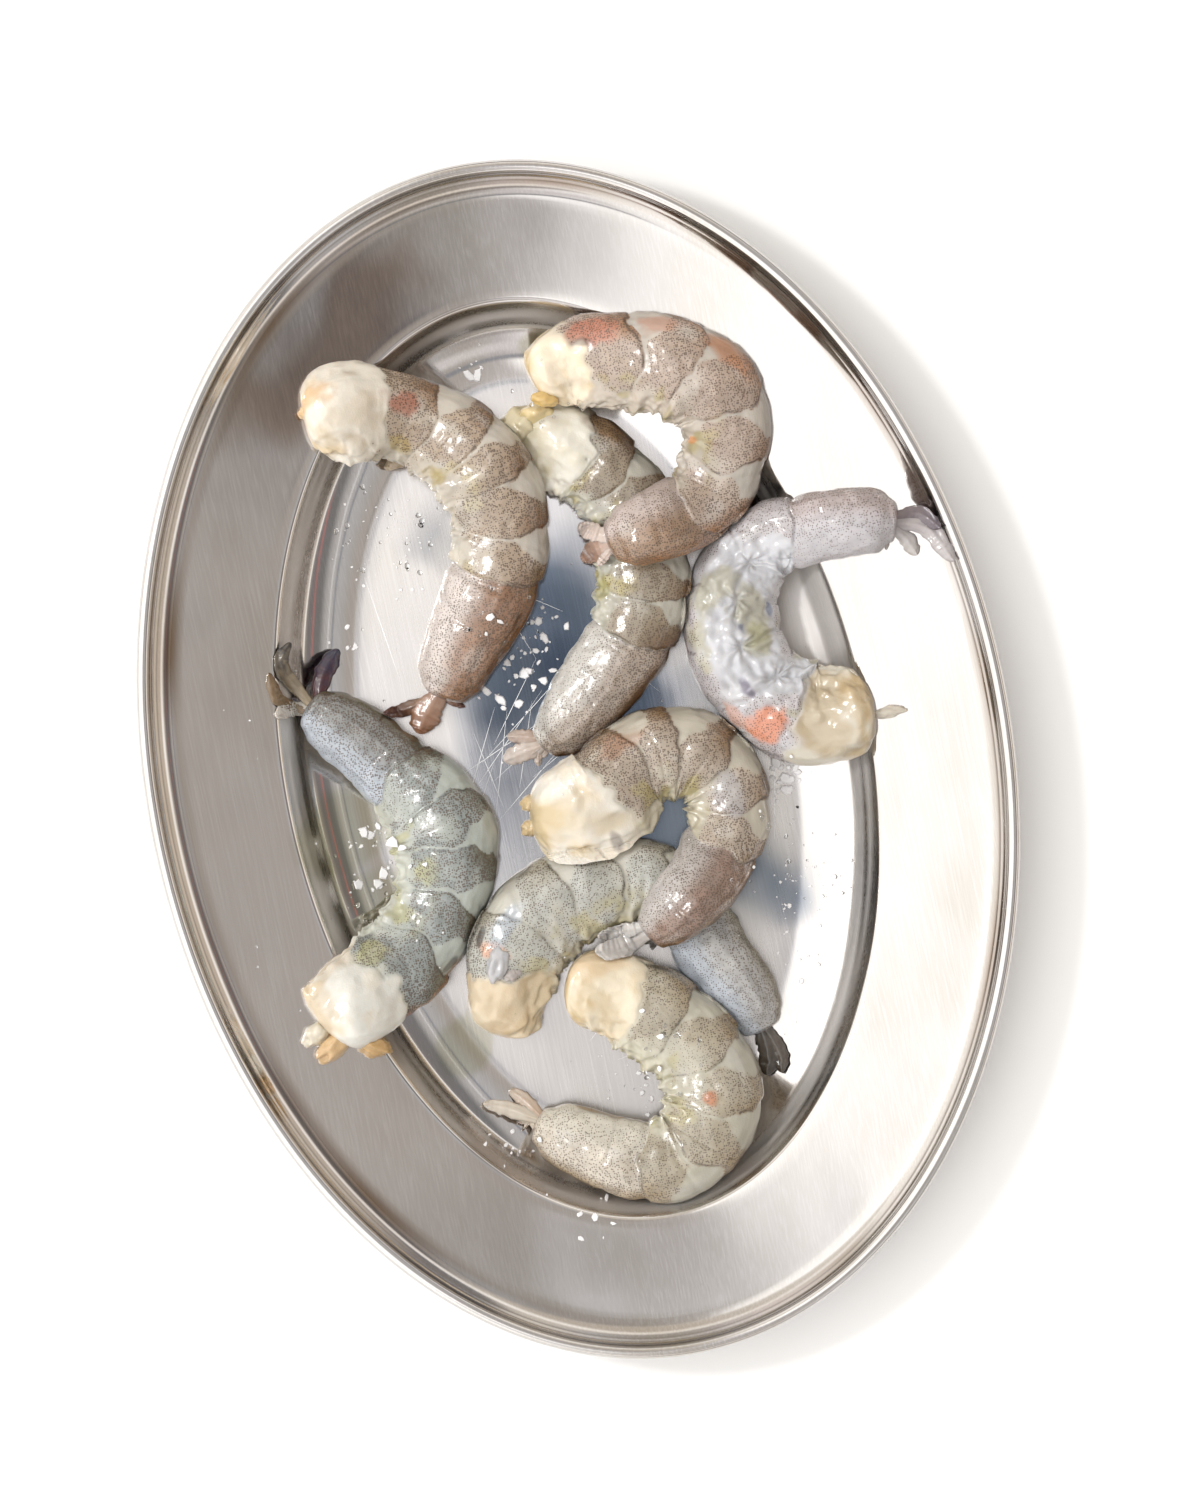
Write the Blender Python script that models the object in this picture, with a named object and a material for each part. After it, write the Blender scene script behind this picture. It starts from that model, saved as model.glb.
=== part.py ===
"""Raw peeled shrimps on an oval stainless steel platter.

Lengths are in millimetres until a mesh is made, and +Z is up. The platter's
long axis lies along Y and its underside stands on Z = 0. Each shrimp is one
closed solid that lies on the platter, or on the shrimps made before it.
"""
import math
from typing import NamedTuple

import bmesh
import bpy
import numpy as np
from mathutils import Matrix, Vector

METRE = 0.001

# Platter: an inset is measured inward from the rim's outer edge.
HALF_WIDTH = 107.2
HALF_LENGTH = 150.0
SHEET = 0.8
BEAD_RADIUS = 1.7
BEAD_HEIGHT = 20.3
LIP_FOOT_INSET = 9.6
LIP_RADIUS = 7.6
LIP_SLOPE = math.radians(50)
FLANGE_SLOPE = math.radians(6)
WELL_EDGE_INSET = 33.2
WELL_EDGE_RADIUS = 3.0
WALL_SLOPE = math.radians(50)
COVE_RADIUS = 12.0
BASE_INSET = 51.0
PLATTER_SIDES = 72

# Resting: the height map that tells a shrimp what lies under it.
CELL = 1.0
GAP = 0.45
WALL_CLEARANCE_CELLS = 2
SINK = 0.9
SQUEEZED = 3.0
DRAPE_LENGTH = 7.0
DRAPE_SLOPE = 3.0
DRAPE_CELLS = 4

# Shrimp anatomy.
RINGS = 31
SIDES = 14
HEAD_CAP = 8.0
TAIL_CAP = 4.0
SEGMENTS = 5
TILE_RELIEF = 0.06
GROOVE = 0.05
LUMP_RELIEF = 0.05
BACK_FULLNESS = 0.16
BELLY_ROOM = 0.85
BLADE_SIDES = 6
BLADE_RINGS = 4
BLADE_THICKNESS = 1.8

# Salt flakes.
SALT_SEED = 11
FLAKE_CORNERS = 6
FLAKE_THICKNESS = 0.7
SALT_CLEARANCE = 2


class Shrimp(NamedTuple):
    """One shrimp: its route of (x, y, visible depth) from head to tail."""

    name: str
    color: tuple
    route: tuple
    lump_end: float
    tail_start: float
    back: int
    roundness: float
    blades: tuple
    flakes: tuple = ()


# The order is the order in which they were laid down.
SHRIMPS = (
    Shrimp("shrimp_left", (0.30, 0.33, 0.33),
           ((-76, -52, 21), (-66, -46, 23.5), (-52, -39, 23.5), (-41.5, -28, 22), (-37, -15, 26.5),
            (-38.5, -4.5, 26), (-46, 7, 19.5), (-54.5, 18, 17.5), (-64, 27.5, 13)),
           0.17, 0.72, -1, 0.72,
           (((-62, 26), (-67.4, 37.5), (-64.1, 43.4), 4.5), ((-61, 26.5), (-58.1, 33.7), (-53.1, 39.5), 5.5),
            ((-62, 25.5), (-67.1, 27.2), (-71.5, 26), 4.5), ((-63, 25), (-69.8, 30), (-70.8, 37), 3.5))),
    Shrimp("shrimp_lower", (0.42, 0.42, 0.38),
           ((-35.5, -63.5, 17), (-30, -54.5, 21.5), (-25, -44, 25), (-15.5, -35.5, 24.5), (-3, -32.5, 23),
            (10, -33.5, 21), (18.5, -41, 20), (22.5, -54, 18), (28.5, -66.5, 17), (31.5, -77, 12)),
           0.13, 0.69, 1, 0.70,
           (((30.5, -74), (31.4, -82), (29.7, -87.5), 6), ((31, -74), (34, -82), (33.5, -87.6), 4.5))),
    Shrimp("shrimp_right", (0.50, 0.47, 0.47),
           ((75, -3.5, 18), (64.5, -2.5, 24), (57, -0.5, 26), (48.5, 8, 24), (44, 20, 24.5),
            (47, 34, 22.5), (56, 43, 19.5), (69, 44, 17), (82, 43, 16.5), (90, 41, 13)),
           0.17, 0.73, 1, 0.68,
           (((87.5, 41.5), (96.3, 37.8), (101, 28.4), 5), ((87.5, 40.5), (90.9, 36.4), (92.7, 32), 4.5),
            ((87.5, 42), (94.7, 42), (99.5, 37.2), 4.5))),
    Shrimp("shrimp_centre", (0.47, 0.45, 0.38),
           ((1, 84.5, 17), (12, 77, 22), (20.5, 69, 22), (26.5, 56, 22), (25.5, 42, 23),
            (20, 28.5, 22), (9.5, 18, 20), (-1, 9.5, 16.5), (-9, 4.5, 10)),
           0.16, 0.65, 1, 0.70,
           (((-6.5, 5.5), (-13.3, 4.6), (-18.5, 3.4), 5.5), ((-6.5, 6.5), (-12.6, 8.4), (-16.5, 9.2), 4))),
    Shrimp("shrimp_top_left", (0.45, 0.40, 0.34),
           ((-49.5, 95.5, 20), (-37, 95.5, 23.5), (-26.5, 93, 21), (-15, 85, 23.5), (-8, 73, 25),
            (-7, 60, 23.5), (-12.5, 46.5, 23.5), (-21.5, 35, 20.5), (-31, 21.5, 14)),
           0.175, 0.68, 1, 0.72,
           (((-30, 24), (-35.3, 18.7), (-37.7, 14.4), 8), ((-32, 22.5), (-40.9, 21.2), (-45.4, 21.3), 4)),
           ((-16, 87.5), (-11, 70))),
    Shrimp("shrimp_bottom", (0.50, 0.49, 0.41),
           ((-16, -55.5, 17), (-6, -58.5, 22.5), (5, -66, 24), (14, -78, 23.5), (15, -91, 24.5),
            (6, -101.5, 22), (-7, -100.5, 20), (-19, -94, 17.5), (-30, -86.5, 12)),
           0.15, 0.71, 1, 0.72,
           (((-27.5, -87), (-34.9, -82.5), (-41.4, -79.5), 4.5), ((-27.5, -86), (-31.4, -80.6), (-34.3, -77.7), 4.5)),
           ((12.4, -65.5), (10.6, -77.4), (17.8, -79.6))),
    Shrimp("shrimp_top_right", (0.48, 0.38, 0.31),
           ((7.5, 94, 18), (18, 97, 21.5), (30, 94.5, 24), (43, 90, 24.5), (52, 80.5, 24),
            (52, 69, 21), (44.5, 57, 20), (33, 53, 19), (17.5, 50.5, 13)),
           0.12, 0.75, 1, 0.70,
           (((20, 50.5), (15, 50), (11, 48.7), 6), ((20, 51.5), (15.1, 54.6), (12.2, 57.6), 5))),
    Shrimp("shrimp_middle", (0.47, 0.42, 0.37),
           ((-15.5, -11.5, 19), (-4, -12.5, 24), (5, -10.5, 26.5), (14, -4, 23), (26, -4, 23.5),
            (34, -12, 20.5), (34, -22, 20.5), (27, -33, 19.5), (17, -41, 17), (7, -47, 12)),
           0.20, 0.70, 1, 0.70,
           (((9.5, -45.5), (0.4, -48), (-6, -47.6), 6), ((9, -44), (0.6, -44.4), (-4.6, -44.2), 4)),
           ((24.8, -36.9),)),
)

# Patches of salt on the platter's flat base: centre x, y, radius, number.
SALT_PATCHES = (
    (-7, 31, 10, 9),
    (-14, 18, 6, 3),
    (-51, -16, 7, 5),
    (-5, 103, 7, 2),
    (-37, 65, 12, 4),
    (46, -14, 6, 4),
    (-18, -72, 10, 3),
    (6, -88, 6, 2),
)


def clear_scene() -> None:
    """Remove every object of the open scene."""
    for item in list(bpy.data.objects):
        bpy.data.objects.remove(item, do_unlink=True)


def make_material(name: str, color: tuple, roughness: float, metallic: float) -> bpy.types.Material:
    """Return a Principled material of one colour."""
    material = bpy.data.materials.new(name)
    material.use_nodes = True
    shader = material.node_tree.nodes["Principled BSDF"]
    shader.inputs["Base Color"].default_value = (*color, 1.0)
    shader.inputs["Roughness"].default_value = roughness
    shader.inputs["Metallic"].default_value = metallic
    return material


def make_object(name: str, vertices: np.ndarray, faces: list) -> bpy.types.Object:
    """Return an object in the scene from millimetre points and faces."""
    mesh = bpy.data.meshes.new(name)
    mesh.from_pydata((np.asarray(vertices) * METRE).tolist(), [], faces)
    work = bmesh.new()
    work.from_mesh(mesh)
    bmesh.ops.triangulate(work, faces=work.faces)
    bmesh.ops.recalc_face_normals(work, faces=work.faces)
    work.to_mesh(mesh)
    work.free()
    item = bpy.data.objects.new(name, mesh)
    bpy.context.scene.collection.objects.link(item)
    return item


def closed_tube(rings: np.ndarray, first: np.ndarray, last: np.ndarray) -> tuple:
    """Return points and faces of a tube through rings, ending in two points.

    rings is an array of ring, side and coordinate.
    """
    count, sides = rings.shape[:2]
    points = np.vstack([rings.reshape(-1, 3), first, last])
    faces = []
    for ring in range(count - 1):
        for side in range(sides):
            near = ring * sides + side
            beside = ring * sides + (side + 1) % sides
            faces.append((near, beside, beside + sides, near + sides))
    head = count * sides
    for side in range(sides):
        beside = (side + 1) % sides
        faces.append((head, beside, side))
        faces.append((head + 1, head - sides + side, head - sides + beside))
    return points, faces


def platter_profile() -> tuple:
    """Return the pressed sheet's upper line as insets and heights, base first."""
    cove = np.linspace(0.0, WALL_SLOPE, 4)
    inset = list(BASE_INSET - COVE_RADIUS * np.sin(cove))
    height = list(SHEET + COVE_RADIUS * (1 - np.cos(cove)))
    turn = np.linspace(WALL_SLOPE, FLANGE_SLOPE, 3)
    edge_start = WELL_EDGE_INSET + WELL_EDGE_RADIUS * (math.sin(WALL_SLOPE) - math.sin(FLANGE_SLOPE))
    edge_height = height[-1] + (inset[-1] - edge_start) * math.tan(WALL_SLOPE)
    inset += list(edge_start - WELL_EDGE_RADIUS * (math.sin(WALL_SLOPE) - np.sin(turn)))
    height += list(edge_height + WELL_EDGE_RADIUS * (np.cos(turn) - math.cos(WALL_SLOPE)))
    foot_height = height[-1] + (inset[-1] - LIP_FOOT_INSET) * math.tan(FLANGE_SLOPE)
    lip = np.linspace(FLANGE_SLOPE, LIP_SLOPE, 4)
    inset += list(LIP_FOOT_INSET - LIP_RADIUS * (np.sin(lip) - math.sin(FLANGE_SLOPE)))
    height += list(foot_height + LIP_RADIUS * (math.cos(FLANGE_SLOPE) - np.cos(lip)))
    return np.array(inset), np.array(height)


def under_profile(inset: np.ndarray, height: np.ndarray) -> tuple:
    """Return the line one sheet thickness below the upper line."""
    along = np.gradient(inset)
    rise = np.gradient(height)
    length = np.hypot(along, rise)
    under_inset = inset - SHEET * rise / length
    under_height = height + SHEET * along / length
    under_height[0] = 0.0
    under_inset[0] = inset[0]
    return under_inset, under_height


def platter_loop() -> tuple:
    """Return the sheet's whole section from base top to base underside."""
    inset, height = platter_profile()
    low_inset, low_height = under_profile(inset, height)
    bead = np.radians(np.linspace(-15, 300, 8))
    bead_inset = BEAD_RADIUS + BEAD_RADIUS * np.cos(bead)
    bead_height = BEAD_HEIGHT + BEAD_RADIUS * np.sin(bead)
    loop_inset = np.concatenate([inset, bead_inset, low_inset[::-1]])
    loop_height = np.concatenate([height, bead_height, low_height[::-1]])
    return loop_inset, loop_height


def make_platter() -> bpy.types.Object:
    """Return the platter: its section swept round the oval, with flat caps."""
    inset, height = platter_loop()
    turn = np.linspace(0, 2 * math.pi, PLATTER_SIDES, endpoint=False)
    rings = np.empty((len(inset), PLATTER_SIDES, 3))
    rings[:, :, 0] = (HALF_WIDTH - inset)[:, None] * np.cos(turn)
    rings[:, :, 1] = (HALF_LENGTH - inset)[:, None] * np.sin(turn)
    rings[:, :, 2] = height[:, None]
    faces = []
    for ring in range(len(inset) - 1):
        for side in range(PLATTER_SIDES):
            near = ring * PLATTER_SIDES + side
            beside = ring * PLATTER_SIDES + (side + 1) % PLATTER_SIDES
            faces.append((near, beside, beside + PLATTER_SIDES, near + PLATTER_SIDES))
    faces.append(tuple(range(PLATTER_SIDES)))
    last = (len(inset) - 1) * PLATTER_SIDES
    faces.append(tuple(range(last + PLATTER_SIDES - 1, last - 1, -1)))
    return make_object("platter", rings.reshape(-1, 3), faces)


def oval_inset(x: np.ndarray, y: np.ndarray) -> np.ndarray:
    """Return how far inward each place lies, by halving the search 24 times."""
    low = np.zeros(np.shape(x))
    high = np.full(np.shape(x), HALF_WIDTH - 0.5)
    for _ in range(24):
        middle = (low + high) / 2
        outside = (x / (HALF_WIDTH - middle)) ** 2 + (y / (HALF_LENGTH - middle)) ** 2 > 1
        high = np.where(outside, middle, high)
        low = np.where(outside, low, middle)
    return low


class Ground:
    """A height map of the platter and of the shrimps laid on it so far."""

    def __init__(self):
        self.x = np.arange(-HALF_WIDTH - 3, HALF_WIDTH + 3, CELL)
        self.y = np.arange(-HALF_LENGTH - 3, HALF_LENGTH + 3, CELL)
        grid_x, grid_y = np.meshgrid(self.x, self.y, indexing="ij")
        inset, height = platter_profile()
        order = np.argsort(inset)
        self.height = np.interp(oval_inset(grid_x, grid_y), inset[order], height[order])
        for _ in range(WALL_CLEARANCE_CELLS):
            self.spread(0.0)
        self.empty = self.height.copy()

    def spread(self, drop: float) -> None:
        """Raise each cell to its neighbours' height less a drop."""
        lower = self.height - drop
        for axis in (0, 1):
            for step in (-1, 1):
                self.height = np.maximum(self.height, np.roll(lower, step, axis))

    def cells(self, x: np.ndarray, y: np.ndarray) -> tuple:
        """Return the cell numbers of places."""
        column = np.clip(np.rint((x - self.x[0]) / CELL), 0, len(self.x) - 1).astype(int)
        row = np.clip(np.rint((y - self.y[0]) / CELL), 0, len(self.y) - 1).astype(int)
        return column, row

    def under(self, x: np.ndarray, y: np.ndarray) -> np.ndarray:
        """Return the height of whatever lies at places."""
        return self.height[self.cells(x, y)]

    def is_bare(self, x: float, y: float, reach: int) -> bool:
        """Tell whether no shrimp lies within a number of cells of a place."""
        column, row = self.cells(x, y)
        window = np.s_[column - reach:column + reach + 1, row - reach:row + reach + 1]
        return bool(np.all(self.height[window] < self.empty[window] + 0.01))

    def lay(self, points: np.ndarray) -> None:
        """Raise the map to a laid surface, with a steep skirt round it."""
        column, row = self.cells(points[..., 0], points[..., 1])
        for step_x in (-1, 0, 1):
            for step_y in (-1, 0, 1):
                np.maximum.at(self.height, (column + step_x, row + step_y), points[..., 2])
        for _ in range(DRAPE_CELLS):
            self.spread(DRAPE_SLOPE * CELL)


def smooth_route(route: tuple, samples: int = 400) -> np.ndarray:
    """Return a route resampled evenly along a Catmull-Rom curve."""
    knots = np.array(route, float)
    knots = np.vstack([2 * knots[0] - knots[1], knots, 2 * knots[-1] - knots[-2]])
    share = np.linspace(0, 1, 40, endpoint=False)[:, None]
    pieces = []
    for index in range(1, len(knots) - 2):
        before, start, end, after = knots[index - 1:index + 3]
        pieces.append(0.5 * (2 * start + (end - before) * share
                             + (2 * before - 5 * start + 4 * end - after) * share ** 2
                             + (3 * start - before - 3 * end + after) * share ** 3))
    curve = np.vstack([*pieces, knots[-2]])
    step = np.hypot(*np.diff(curve[:, :2], axis=0).T)
    travelled = np.concatenate([[0], np.cumsum(step)])
    even = np.linspace(0, travelled[-1], samples)
    return np.column_stack([even] + [np.interp(even, travelled, column) for column in curve.T])


def blur(values: np.ndarray, reach: float, step: float) -> np.ndarray:
    """Return values smoothed along a line by a bell of the given reach."""
    half = int(3 * reach / step)
    bell = np.exp(-0.5 * (np.arange(-half, half + 1) * step / reach) ** 2)
    padded = np.pad(values, half, mode="edge")
    return np.convolve(padded, bell / bell.sum(), mode="valid")


class Spine:
    """The middle line of a shrimp, with its heading, depth and height."""

    def __init__(self, shrimp: Shrimp, ground: Ground):
        self.shrimp = shrimp
        line = smooth_route(shrimp.route)
        self.arc = line[:, 0]
        self.length = self.arc[-1]
        step = self.arc[1]
        self.x = blur(line[:, 1], 1.5, step)
        self.y = blur(line[:, 2], 1.5, step)
        self.depth = blur(line[:, 3], 3.0, step)
        heading = np.arctan2(np.gradient(self.y), np.gradient(self.x))
        self.side_x = -np.sin(heading) * shrimp.back
        self.side_y = np.cos(heading) * shrimp.back
        turning = np.abs(np.gradient(np.unwrap(heading), step))
        self.belly_room = BELLY_ROOM / np.maximum(blur(turning, 2.0, step), 0.01)
        self.thick = self.depth * shrimp.roundness
        reach = np.linspace(-0.3, 0.3, 7)[:, None] * self.depth
        floor = ground.under(self.x + reach * self.side_x, self.y + reach * self.side_y).max(axis=0)
        self.z = blur(floor, DRAPE_LENGTH, step) + GAP + self.thick / 2 - SINK

    def at(self, name: str, arc: np.ndarray) -> np.ndarray:
        """Return one of the line's values at distances from the head."""
        return np.interp(arc, self.arc, getattr(self, name))


def end_rounding(arc: np.ndarray, length: float) -> np.ndarray:
    """Return 0 at both tips and 1 beyond the caps, along quarter ellipses."""
    head = np.clip(1 - arc / HEAD_CAP, 0, 1)
    tail = np.clip(1 - (length - arc) / TAIL_CAP, 0, 1)
    return np.sqrt(1 - head ** 2) * np.sqrt(1 - tail ** 2)


def tile_relief(shrimp: Shrimp, share: np.ndarray, around: np.ndarray) -> np.ndarray:
    """Return the swelling of each overlapping segment, about 1.

    A segment swells towards its rear edge and drops sharply to the next one.
    """
    span = (shrimp.tail_start - shrimp.lump_end) / SEGMENTS
    place = (share - shrimp.lump_end) / span
    phase = place - np.floor(place)
    swell = np.sin(math.pi * phase ** 1.5) ** 0.7
    banded = (place > 0) & (place < SEGMENTS)
    tile = np.where(banded, TILE_RELIEF * swell - GROOVE, 0.0)
    lump = np.where(place <= 0, LUMP_RELIEF * np.sin(3 * around + 9 * share / shrimp.lump_end), 0.0)
    return 1 + tile + lump


def body_surface(spine: Spine, arc: np.ndarray, around: np.ndarray, ground: Ground) -> np.ndarray:
    """Return body points, one row for each ring.

    The section is an oval that is fuller at the back than at the belly. It
    stands across the spine, and is pushed up where it would enter the ground.
    """
    arc, around = np.meshgrid(arc, around, indexing="ij")
    shrimp = spine.shrimp
    size = end_rounding(arc, spine.length) * tile_relief(shrimp, arc / spine.length, around)
    across = spine.at("depth", arc) / 2 * size * np.cos(around)
    across = np.maximum(across, -spine.at("belly_room", arc))
    upward = spine.at("thick", arc) / 2 * size * np.sin(around) * (1 + BACK_FULLNESS * np.cos(around))
    x = spine.at("x", arc) + across * spine.at("side_x", arc)
    y = spine.at("y", arc) + across * spine.at("side_y", arc)
    z = spine.at("z", arc) + upward
    lift = (1 + np.sin(around)) / 2 * SQUEEZED * size
    z = np.maximum(z, ground.under(x, y) + GAP + lift)
    return np.stack([x, y, z], axis=-1)


def ring_places(length: float) -> np.ndarray:
    """Return the distances of rings from the head, closer at both caps."""
    even = np.linspace(0, 1, RINGS + 2)[1:-1]
    eased = even - 0.55 * np.sin(2 * math.pi * even) / (2 * math.pi)
    return length * eased


def tip_point(spine: Spine, ring: np.ndarray, arc: float) -> np.ndarray:
    """Return the point that closes the body beyond its last ring."""
    return np.array([spine.at("x", arc), spine.at("y", arc), ring[:, 2].mean()])


def make_blade(blade: tuple, spine: Spine, ground: Ground, name: str) -> bpy.types.Object:
    """Return one blade of the tail fan, sinking from the body to the ground."""
    *route, width = blade
    line = smooth_route([(*place, width) for place in route])
    arc = np.linspace(0, 1, BLADE_RINGS + 2)[1:-1] * line[-1, 0]
    columns = [np.interp(arc, line[:, 0], line[:, index]) for index in (1, 2)]
    centre = np.column_stack(columns)
    heading = np.gradient(centre, axis=0)
    heading /= np.linalg.norm(heading, axis=1, keepdims=True)
    share = arc / line[-1, 0]
    narrow = width / 2 * np.sqrt(np.clip(1 - share ** 3, 0, 1)) * (0.55 + 0.45 * np.sin(math.pi * share))
    turn = np.linspace(0, 2 * math.pi, BLADE_SIDES, endpoint=False)
    across = narrow[:, None] * np.cos(turn)
    x = centre[:, :1] - across * heading[:, 1:]
    y = centre[:, 1:] + across * heading[:, :1]
    body_z = spine.z[-1] - 0.12 * spine.thick[-1]
    rest_z = ground.under(*centre.T) + GAP + BLADE_THICKNESS / 2
    middle = body_z + (rest_z - body_z) * np.minimum(1, share * 1.1) ** 1.3
    z = middle[:, None] + BLADE_THICKNESS / 2 * np.sin(turn)
    z = np.maximum(z, ground.under(x, y) + GAP + BLADE_THICKNESS * (1 + np.sin(turn)) / 2)
    rings = np.stack([x, y, z], axis=-1)
    first = np.array([*route[0], z[0].mean()])
    last = np.array([*route[-1], z[-1].mean()])
    return make_object(name, *closed_tube(rings, first, last))


def make_flake(place: Vector, normal: Vector, size: float, spin: float, name: str) -> bpy.types.Object:
    """Return a flat uneven salt flake, half sunk where it lies."""
    turn = np.linspace(0, 2 * math.pi, FLAKE_CORNERS, endpoint=False) + spin
    radius = size / 2 * (1 + 0.22 * np.sin(3 * turn + 5 * spin))
    outline = np.column_stack([radius * np.cos(turn), 0.75 * radius * np.sin(turn)])
    low = np.column_stack([outline, np.full(FLAKE_CORNERS, -FLAKE_THICKNESS)])
    high = np.column_stack([0.8 * outline, np.full(FLAKE_CORNERS, FLAKE_THICKNESS)])
    faces = [tuple(range(FLAKE_CORNERS)), tuple(range(FLAKE_CORNERS, 2 * FLAKE_CORNERS))]
    for corner in range(FLAKE_CORNERS):
        beside = (corner + 1) % FLAKE_CORNERS
        faces.append((corner, beside, beside + FLAKE_CORNERS, corner + FLAKE_CORNERS))
    flake = make_object(name, np.vstack([low, high]), faces)
    tilt = normal.to_track_quat("Z", "Y").to_matrix().to_4x4()
    flake.data.transform(Matrix.Translation(place * METRE) @ tilt)
    return flake


def fuse(target: bpy.types.Object, extras: list) -> None:
    """Join closed objects to a target by one Boolean union, then remove them."""
    group = bpy.data.collections.new(target.name + "_extras")
    bpy.context.scene.collection.children.link(group)
    for extra in extras:
        bpy.context.scene.collection.objects.unlink(extra)
        group.objects.link(extra)
    union = target.modifiers.new("union", "BOOLEAN")
    union.operation = "UNION"
    union.operand_type = "COLLECTION"
    union.collection = group
    union.solver = "EXACT"
    depsgraph = bpy.context.evaluated_depsgraph_get()
    joined = bpy.data.meshes.new_from_object(target.evaluated_get(depsgraph))
    target.modifiers.clear()
    target.data = joined
    for extra in extras:
        bpy.data.objects.remove(extra, do_unlink=True)
    bpy.data.collections.remove(group)


def flake_on_body(item: bpy.types.Object, place: tuple, size: float, spin: float) -> bpy.types.Object:
    """Return a flake lying on the upper side of a body."""
    start = Vector((*place, 100.0)) * METRE
    _, hit, normal, _ = item.ray_cast(start, Vector((0, 0, -1)))
    return make_flake(hit / METRE, normal, size, spin, item.name + "_flake")


def make_shrimp(shrimp: Shrimp, ground: Ground) -> bpy.types.Object:
    """Return a shrimp laid on the ground, and raise the ground to its back."""
    spine = Spine(shrimp, ground)
    turn = np.linspace(0, 2 * math.pi, SIDES, endpoint=False)
    rings = body_surface(spine, ring_places(spine.length), turn, ground)
    first = tip_point(spine, rings[0], 0.0)
    last = tip_point(spine, rings[-1], spine.length)
    item = make_object(shrimp.name, *closed_tube(rings, first, last))
    extras = []
    for blade in shrimp.blades:
        extras.append(make_blade(blade, spine, ground, shrimp.name + "_blade"))
    laid = [np.array(extra.data.vertices[index].co) / METRE
            for extra in extras for index in range(len(extra.data.vertices))]
    for number, place in enumerate(shrimp.flakes):
        extras.append(flake_on_body(item, place, 3.6, 1.3 * number))
    fuse(item, extras)
    fine_arc = np.linspace(0.2, spine.length - 0.2, 260)
    fine_turn = np.linspace(0, 2 * math.pi, 90)
    ground.lay(body_surface(spine, fine_arc, fine_turn, ground))
    ground.lay(np.array(laid))
    item.data.materials.clear()
    item.data.materials.append(make_material(shrimp.name, shrimp.color, 0.3, 0.0))
    return item


def add_salt(platter: bpy.types.Object, ground: Ground) -> None:
    """Fuse the largest salt flakes to the platter, clear of every shrimp."""
    draw = np.random.default_rng(SALT_SEED)
    flakes = []
    taken = []
    for centre_x, centre_y, radius, number in SALT_PATCHES:
        left = number
        for _ in range(200):
            angle = draw.uniform(0, 2 * math.pi)
            distance = radius * math.sqrt(draw.uniform(0, 1))
            x = centre_x + distance * math.cos(angle)
            y = centre_y + distance * math.sin(angle)
            size = draw.uniform(2.4, 4.6)
            spin = draw.uniform(0, 2 * math.pi)
            on_base = oval_inset(np.array(x), np.array(y)) > BASE_INSET + 3
            apart = all(math.hypot(x - other[0], y - other[1]) > 5.0 for other in taken)
            if left and on_base and apart and ground.is_bare(x, y, SALT_CLEARANCE):
                taken.append((x, y))
                flakes.append(make_flake(Vector((x, y, SHEET)), Vector((0, 0, 1)), size, spin, "salt"))
                left -= 1
    fuse(platter, flakes)


def main() -> None:
    """Build the platter, lay the shrimps on it and scatter the salt."""
    clear_scene()
    platter = make_platter()
    ground = Ground()
    for shrimp in SHRIMPS:
        make_shrimp(shrimp, ground)
    add_salt(platter, ground)
    platter.data.materials.clear()
    platter.data.materials.append(make_material("steel", (0.60, 0.58, 0.56), 0.28, 1.0))


main()
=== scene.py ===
"""The looks of raw peeled shrimps on an oval stainless steel platter.

Lengths are in millimetres until a mesh is made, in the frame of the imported
model: the platter's long axis is Y, its underside stands on Z = 0. Every
surface is a function of two parameters, worked out by numpy on whole arrays.
"""

import logging
import math
from dataclasses import dataclass, field
from enum import Enum

import bpy
import numpy as np
from mathutils import Matrix, Vector

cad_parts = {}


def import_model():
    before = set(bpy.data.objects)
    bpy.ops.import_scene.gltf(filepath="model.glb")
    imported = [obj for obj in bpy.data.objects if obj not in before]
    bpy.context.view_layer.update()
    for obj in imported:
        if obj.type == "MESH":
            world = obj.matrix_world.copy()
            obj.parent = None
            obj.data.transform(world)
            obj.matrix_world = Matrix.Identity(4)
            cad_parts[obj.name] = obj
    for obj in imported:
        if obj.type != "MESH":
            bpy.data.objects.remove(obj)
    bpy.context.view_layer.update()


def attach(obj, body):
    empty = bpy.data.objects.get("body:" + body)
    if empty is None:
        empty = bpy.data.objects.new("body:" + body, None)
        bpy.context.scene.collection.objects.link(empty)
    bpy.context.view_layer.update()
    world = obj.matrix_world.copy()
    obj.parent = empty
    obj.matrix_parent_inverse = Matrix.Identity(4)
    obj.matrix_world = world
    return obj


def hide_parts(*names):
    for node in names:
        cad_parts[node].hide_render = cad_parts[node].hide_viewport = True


METRE = 0.001
log = logging.getLogger("shrimp_platter")


def linear(*color: float) -> np.ndarray:
    """Return a display colour of 0 to 255 as linear light from 0 to 1."""
    share = np.array(color, float) / 255
    return np.where(share <= 0.04045, share / 12.92, ((share + 0.055) / 1.055) ** 2.4)


def wet_flesh(*color: float) -> np.ndarray:
    """Return the colour below the wet gloss, for flesh that looks as given.

    The studio's light is a little over white, and the gloss adds a thin veil.
    """
    return np.clip((linear(*color) - 0.07) / 1.2, 0.012, 1)


def smoothstep(low: float, high: float, value: np.ndarray) -> np.ndarray:
    """Return 0 below low, 1 above high and an eased share between them."""
    share = np.clip((value - low) / (high - low), 0, 1)
    return share * share * (3 - 2 * share)


def mix(first: np.ndarray, second: np.ndarray, share: np.ndarray) -> np.ndarray:
    """Return colours blended by a share for each point."""
    return first + (second - first) * np.asarray(share)[..., None]


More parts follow.
